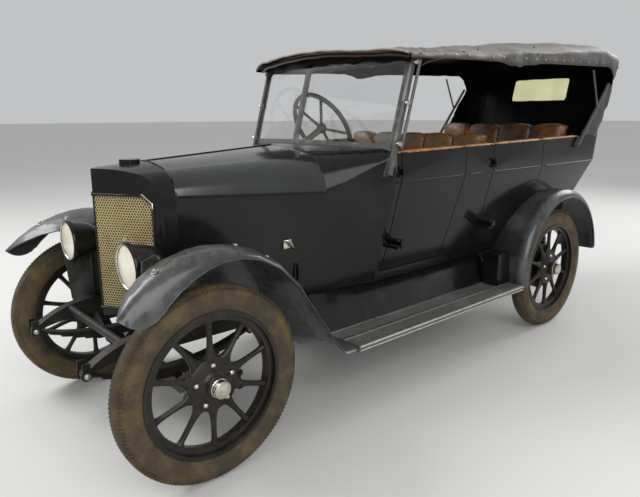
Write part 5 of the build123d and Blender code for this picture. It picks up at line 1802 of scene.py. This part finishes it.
class CAR_OT_body(bpy.types.Operator):
    """Makes the tub, scuttle and doors with their beads, handles and leather capping"""

    bl_idname = "car.body"
    bl_label = "Body and doors"

    def execute(self, context):
        make_body()
        return {"FINISHED"}


class CAR_OT_fenders(bpy.types.Operator):
    """Makes the fenders with their bolts, and the splash aprons"""

    bl_idname = "car.fenders"
    bl_label = "Fenders"

    def execute(self, context):
        make_fenders()
        return {"FINISHED"}


class CAR_OT_boards(bpy.types.Operator):
    """Makes the running boards with their mats and strips"""

    bl_idname = "car.boards"
    bl_label = "Running boards"

    def execute(self, context):
        make_boards()
        return {"FINISHED"}


class CAR_OT_wheels(bpy.types.Operator):
    """Makes the spoked wheels and the tyres"""

    bl_idname = "car.wheels"
    bl_label = "Wheels"

    def execute(self, context):
        make_wheels()
        return {"FINISHED"}


class CAR_OT_lamps(bpy.types.Operator):
    """Makes the headlamps"""

    bl_idname = "car.lamps"
    bl_label = "Headlamps"

    def execute(self, context):
        make_lamps()
        return {"FINISHED"}


class CAR_OT_screen(bpy.types.Operator):
    """Makes the windscreen with its knobs and panes"""

    bl_idname = "car.screen"
    bl_label = "Windscreen"

    def execute(self, context):
        make_screen()
        return {"FINISHED"}


class CAR_OT_chassis(bpy.types.Operator):
    """Makes the frame, springs, axles and engine"""

    bl_idname = "car.chassis"
    bl_label = "Chassis"

    def execute(self, context):
        make_chassis()
        return {"FINISHED"}


class CAR_OT_canopy(bpy.types.Operator):
    """Makes the canopy's cloth, bows, piping, flap, snaps and rear window"""

    bl_idname = "car.canopy"
    bl_label = "Canopy"

    def execute(self, context):
        make_canopy()
        return {"FINISHED"}


class CAR_OT_seats(bpy.types.Operator):
    """Makes the leather seats, swollen by cloth simulation and sewn into rolls"""

    bl_idname = "car.seats"
    bl_label = "Seats"

    def execute(self, context):
        make_seats()
        return {"FINISHED"}


class CAR_OT_inside(bpy.types.Operator):
    """Makes the steering wheel, dashboard, levers, floor and toolbox"""

    bl_idname = "car.inside"
    bl_label = "Inside and toolbox"

    def execute(self, context):
        make_inside()
        return {"FINISHED"}


STEPS = (
    CAR_OT_stage, CAR_OT_finishes, CAR_OT_radiator, CAR_OT_bonnet, CAR_OT_body, CAR_OT_fenders,
    CAR_OT_boards, CAR_OT_wheels, CAR_OT_lamps, CAR_OT_screen, CAR_OT_chassis, CAR_OT_canopy,
    CAR_OT_seats, CAR_OT_inside,
)


class CAR_PT_looks(bpy.types.Panel):
    """Lists the car's settings and its pieces"""

    bl_label = "Touring Car"
    bl_idname = "CAR_PT_looks"
    bl_space_type = "VIEW_3D"
    bl_region_type = "UI"
    bl_category = "Touring Car"

    def draw(self, context):
        for name, group in SETTINGS.items():
            box = self.layout.box()
            box.label(text=name.capitalize())
            for label in group.__annotations__:
                box.prop(getattr(context.scene, f"car_{name}"), label)
        column = self.layout.column(align=True)
        for step in STEPS:
            column.operator(step.bl_idname)


def register():
    """Registers the settings, the operators and the panel."""
    for cls in (*SETTINGS.values(), *STEPS, CAR_PT_looks):
        bpy.utils.register_class(cls)
    for name, group in SETTINGS.items():
        setattr(bpy.types.Scene, f"car_{name}", PointerProperty(type=group))


def unregister():
    """Takes the settings, the operators and the panel away."""
    for name in SETTINGS:
        delattr(bpy.types.Scene, f"car_{name}")
    for cls in reversed((*SETTINGS.values(), *STEPS, CAR_PT_looks)):
        bpy.utils.unregister_class(cls)


def main():
    """Registers the add-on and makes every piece."""
    register()
    for step in STEPS:
        getattr(bpy.ops.car, step.bl_idname.split(".")[1])()


if __name__ == "__main__":
    main()
